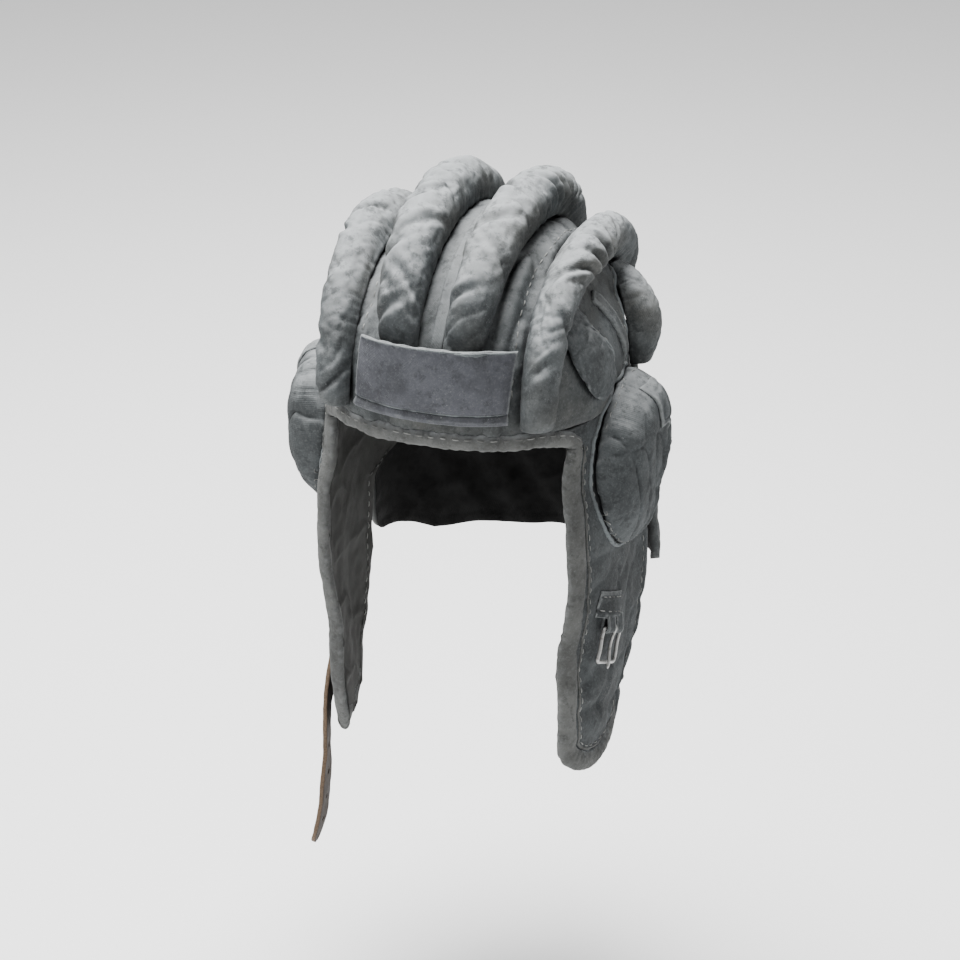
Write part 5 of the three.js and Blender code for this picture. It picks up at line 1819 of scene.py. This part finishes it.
def make_tongue(seat, trim, looks):
    wire = mm(trim.wire)
    pin = wire / 2 * 0.84
    eye = wire / 2 + 0.35 + pin
    rest = wire / 2 + pin + 0.3
    height = mm(trim.buckle_height)
    angle = np.radians(linspace(300, 70, 24))
    down = list(eye * cos(angle)) + [height * 0.3, height * 0.6, height - wire, height + 1.4]
    out = list(eye * sin(angle)) + [rest * 0.45, rest * 0.5, rest, rest * 0.95]
    line = smooth_line(seat.at(np.zeros(len(down)), array(down), array(out)), 90)
    radius = np.full(len(line), pin)
    radius[-5:] *= array([1, 0.97, 0.88, 0.7, 0.3])
    radius[:3] *= array([0.4, 0.8, 0.95])
    rings = wire_rings(line, seat.across, radius, 12, False)
    obj = tube_mesh("tongue_wire", rings)
    dress(obj, looks["dull wire"], "buckle_tongue", slot="wire", body="tongue")


def make_loop(seat, trim, looks):
    """Cloth folded round the bar, slotted for the tongue, its plies flat above."""
    hole = mm(trim.wire) / 2 + 0.35
    shell = hole + 1.7
    slot, tail, under_slit = 2.8, 10.0, 5.0
    half = mm(trim.loop_width) / 2
    under = linspace(-tail, 0, 12, endpoint=False)
    turn = np.radians(linspace(-90, 118, 40))
    low, high = math.cos(turn[-1]), math.sin(turn[-1])
    over = linspace(0, 1, 16)[1:]
    down_in = concatenate([under, hole * cos(turn), low * hole - (tail + low * hole) * over])
    down_out = concatenate([under, shell * cos(turn), low * shell - (tail + low * shell) * over])
    lift_in = high * hole + (0.3 - hole - high * hole) * over
    lift_out = high * shell + (0.45 - high * shell) * over
    out_in = concatenate([0 * under - hole, hole * sin(turn), lift_in])
    out_out = concatenate([0 * under - shell, shell * sin(turn), lift_out])
    # The halves beside the slot, and the part above it that joins them in the lower ply
    parts = (
        ("front", -half, -slot / 2, 14, slice(None)), ("rear", slot / 2, half, 14, slice(None)),
        ("middle", -slot / 2, slot / 2, 5, np.nonzero(under <= -under_slit)[0]),
    )
    for word, first, last, columns, keep in parts:
        across = linspace(first, last, columns)[None, :]
        inner = seat.at(across, down_in[keep][:, None], out_in[keep][:, None])
        wave = 0.15 * noise(inner, 2.5, 130)
        outer = seat.at(across, down_out[keep][:, None], out_out[keep][:, None] + wave)
        piece = sheet_mesh("buckle_loop_" + word, inner, outer)
        dress(piece, looks["flap cotton"])
    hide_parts("buckle_loop")


def make_patch(form, seat, trim, looks):
    """The patch: a folded strip sewn on over the ends of the loop."""
    wall = form.flap_wall
    flap = Surface(bpy.data.objects["side_flap_cloth_left"])
    u = linspace(-0.5, 0.5, 60)[None, :]
    v = linspace(0, 1, 34)[:, None]
    low = -10.0 - form.gap
    length, height = mm(trim.patch_length), mm(trim.patch_height)
    near = seat.at(u * length - 1.5 + 0 * v, low + 4.5 - v * (height + 3) + 0 * u, 0 * u * v)
    base = form.side_wall(near[..., 1], near[..., 2], wall, 1)
    out = form.outward(base)
    placed, _ = flap.outside(base, out, reach=8.0)
    edge = minimum((0.5 - abs(u)) * length, minimum(v, 1 - v) * height)
    over_loop = 2.4 * ease(0.6, 0.1, v) * ease(0.42, 0.22, abs(u + 0.04))
    fold = 0.3 * hump((1 - v) * height - 0.9, 1.1)
    seam = -0.5 * hump((1 - v) * height - 2.8, 0.7) - 0.5 * hump(v * height - 3.2, 0.7)
    waves = 0.3 * noise(base, 4, 140)
    lift = over_loop + fold + seam + waves - 0.7 * ease(1.6, 0, edge)
    inner = placed + out * (0.25 + clip(over_loop, 0, 3))[..., None]
    outer = placed + out * (1.3 + lift)[..., None]
    patch = sheet_mesh("buckle_patch_cloth", inner, outer)
    dress(patch, looks["flap cotton"], "buckle_patch")
    on = Surface(patch)
    for row, word in ((9, "lower"), (26, "upper")):
        line, way = outer[row, 3:-3], out[row, 3:-3]
        sew(f"patch_stitches_{word}", on, line, way, looks, trim, 22 + row)


class HELMET_OT_buckle(bpy.types.Operator):
    """Makes the wire buckle, its tongue, its cloth loop and the patch above it"""

    bl_idname = "helmet.buckle"
    bl_label = "Buckle"

    def execute(self, context):
        make_buckle(context)
        return {"FINISHED"}


def make_strap(context):
    form, trim, looks = tools(context)
    wall = form.flap_wall
    thick = mm(trim.strap_wall)
    grow = wall + form.gap + STRAP["stand"] * thick
    points = form.side_wall(STRAP["along"] * form.reach, form.rim - STRAP["drop"] * form.drop, 0.0, -1)
    out = form.outward(points)
    points = np.stack([form.side_wall(y, z, g, -1) for y, z, g in zip(points[:, 1], points[:, 2], grow)])
    count = 260
    line = smooth_line(points, count)
    aside, out = stations(form, line)
    aside, out = twisted(form, line, aside, out)
    total = travelled(line)[-1]
    left = clip(linspace(total, 0, count + 1) / mm(trim.strap_point), 0.02, 1)
    half = mm(trim.strap_width) / 2 * np.sqrt(1 - (1 - left) ** 2)
    profile = table(
        "across out edge",
        (-0.9, 0, 0), (-0.98, 0.1, 1), (-1, 0.35, 1), (-1, 0.65, 1), (-0.98, 0.9, 1), (-0.9, 1, 0.2),
        (-0.6, 1, 0), (-0.3, 1, 0), (0, 1, 0), (0.3, 1, 0), (0.6, 1, 0), (0.9, 1, 0.2), (0.98, 0.9, 1),
        (1, 0.65, 1), (1, 0.35, 1), (0.98, 0.1, 1), (0.9, 0, 0), (0.6, 0, 0), (0.3, 0, 0), (0, 0, 0),
        (-0.3, 0, 0), (-0.6, 0, 0),
    )
    rings = (
        line[:, None]
        + aside[:, None] * (half[:, None] * profile["across"])[..., None]
        + out[:, None] * (thick * profile["out"])[:, None]
    )
    cup = 0.5 * (profile["across"] ** 2)[None, :] * noise(line, 24, 150)[:, None]
    rings = rings + out[:, None] * (cup + 0.25 * noise(rings, 6, 151))[..., None]
    strap = tube_mesh("chin_strap_leather", rings)
    edge = concatenate([np.tile(profile["edge"], count + 1), [1, 1]])
    add_values(strap, "edge", edge)
    punch_holes(context, strap, trim, line, out)
    dress(strap, looks["strap leather"], "chin_strap", slot="strap_leather")


def twisted(form, line, aside, out):
    """The strap turns a little towards the back once it hangs free."""
    free = ease(form.rim - 0.85 * form.drop, form.rim - 1.1 * form.drop, line[:, 2:3])
    turn = STRAP_TWIST * free
    hand = np.sign(aside[:, 1:2])
    back = hand * aside
    return hand * (back * cos(turn) - out * sin(turn)), out * cos(turn) + back * sin(turn)


def punch_holes(context, strap, trim, line, out):
    """Cuts the round buckle holes through the strap."""
    step = norm(np.diff(line, axis=0), axis=1).mean()
    for number in range(4):
        k = len(line) - 1 - int((20 + number * mm(trim.hole_pitch)) / step)
        middle = line[k] + out[k] * mm(trim.strap_wall) / 2
        ends = middle + out[k] * array([-4, 4])[:, None]
        rings = wire_rings(ends, array([0, 1.0, 0.2]), mm(trim.hole) / 2, 20, False)
        punch = tube_mesh(f"punch_{number}", rings)
        cut = strap.modifiers.new("hole", "BOOLEAN")
        cut.object = punch
        cut.operation = "DIFFERENCE"
        cut.solver = "EXACT"
        bake(context, strap)
        bpy.data.objects.remove(punch)


class HELMET_OT_strap(bpy.types.Operator):
    """Makes the leather chin strap and its holes"""

    bl_idname = "helmet.strap"
    bl_label = "Chin strap"

    def execute(self, context):
        make_strap(context)
        return {"FINISHED"}


def make_stage(context):
    stage = context.scene.helmet_stage
    form = HeadForm(context)
    paint = Paint("pale floor")
    floor_look = paint.finish((0.92, 0.92, 0.92), 0.9)
    mesh = bpy.data.meshes.new("floor")
    half, level = 6.0, CAD_LOW.z - stage.floor_gap
    corners = [(-half, -half, level), (half, -half, level), (half, half, level), (-half, half, level)]
    mesh.from_pydata(corners, [], [(0, 1, 2, 3)])
    mesh.materials.append(floor_look)
    floor = bpy.data.objects.new("floor", mesh)
    context.scene.collection.objects.link(floor)
    world = bpy.data.worlds.new("soft sky")
    world.use_nodes = True
    background = world.node_tree.nodes["Background"].inputs
    background["Color"].default_value = (1, 1, 1, 1)
    background["Strength"].default_value = stage.sky
    context.scene.world = world
    target = Vector((0, -0.003, form.rim * 0.001 - 0.05))
    lamps = (
        ("top light", stage.top_light, 1.1, (-0.25, 0.2, 1.5)),
        ("side light", stage.side_light, 0.9, (-1.1, -1.2, 0.5)),
    )
    for name, power, size, place in lamps:
        light = bpy.data.lights.new(name, "AREA")
        light.shape = "DISK"
        light.size = size
        light.energy = power
        aimed(context, name, light, target + Vector(place), target)
    azimuth, elevation = math.radians(stage.azimuth), math.radians(stage.elevation)
    level = math.cos(elevation)
    way = Vector((math.sin(azimuth) * level, -math.cos(azimuth) * level, math.sin(elevation)))
    lens = bpy.data.cameras.new("camera")
    lens.lens = stage.lens
    lens.sensor_width = 36
    lens.shift_y = stage.rise
    context.scene.camera = aimed(context, "camera", lens, target + way * stage.distance, target)


def aimed(context, name, data, place, target):
    """A light or camera that looks from its place at the target."""
    obj = bpy.data.objects.new(name, data)
    obj.location = place
    obj.rotation_mode = "QUATERNION"
    obj.rotation_quaternion = (target - place).to_track_quat("-Z", "Y")
    context.scene.collection.objects.link(obj)
    return obj


class HELMET_OT_stage(bpy.types.Operator):
    """Makes the pale floor, the soft lights and the camera"""

    bl_idname = "helmet.stage"
    bl_label = "Stage"

    def execute(self, context):
        make_stage(context)
        return {"FINISHED"}


OPERATORS = (
    HELMET_OT_crown,
    HELMET_OT_rolls,
    HELMET_OT_side_rolls,
    HELMET_OT_flaps,
    HELMET_OT_nape,
    HELMET_OT_binding,
    HELMET_OT_panel,
    HELMET_OT_ear_pads,
    HELMET_OT_buckle,
    HELMET_OT_strap,
    HELMET_OT_stage,
)


class HELMET_PT_pieces(bpy.types.Panel):
    """Lists the sizes, the colours and the pieces of the helmet"""

    bl_idname = "HELMET_PT_pieces"
    bl_label = "Padded Helmet"
    bl_space_type = "VIEW_3D"
    bl_region_type = "UI"
    bl_category = "Helmet"

    def draw(self, context):
        for operator in OPERATORS:
            self.layout.operator(operator.bl_idname)
        for name, group in GROUPS.items():
            box = self.layout.box()
            box.label(text=group.__name__)
            for field in group.__annotations__:
                box.prop(getattr(context.scene, name), field)


def register():
    for group in GROUPS.values():
        bpy.utils.register_class(group)
    for name, group in GROUPS.items():
        setattr(bpy.types.Scene, name, bpy.props.PointerProperty(type=group))
    for cls in (*OPERATORS, HELMET_PT_pieces):
        bpy.utils.register_class(cls)


def unregister():
    for cls in (HELMET_PT_pieces, *reversed(OPERATORS)):
        bpy.utils.unregister_class(cls)
    for name, group in GROUPS.items():
        delattr(bpy.types.Scene, name)
        bpy.utils.unregister_class(group)


def main():
    register()
    for operator in OPERATORS:
        group, name = operator.bl_idname.split(".")
        getattr(getattr(bpy.ops, group), name)()
    cloths = [o for o in bpy.data.objects if o.type == "MESH" and "hollow" in o.data.attributes]
    # Painted shade and dirt: each cloth darkens where the pieces round it shut it in
    mark_hollows([o for o in cloths if "cloth" in o.name])


if __name__ == "__main__":
    main()
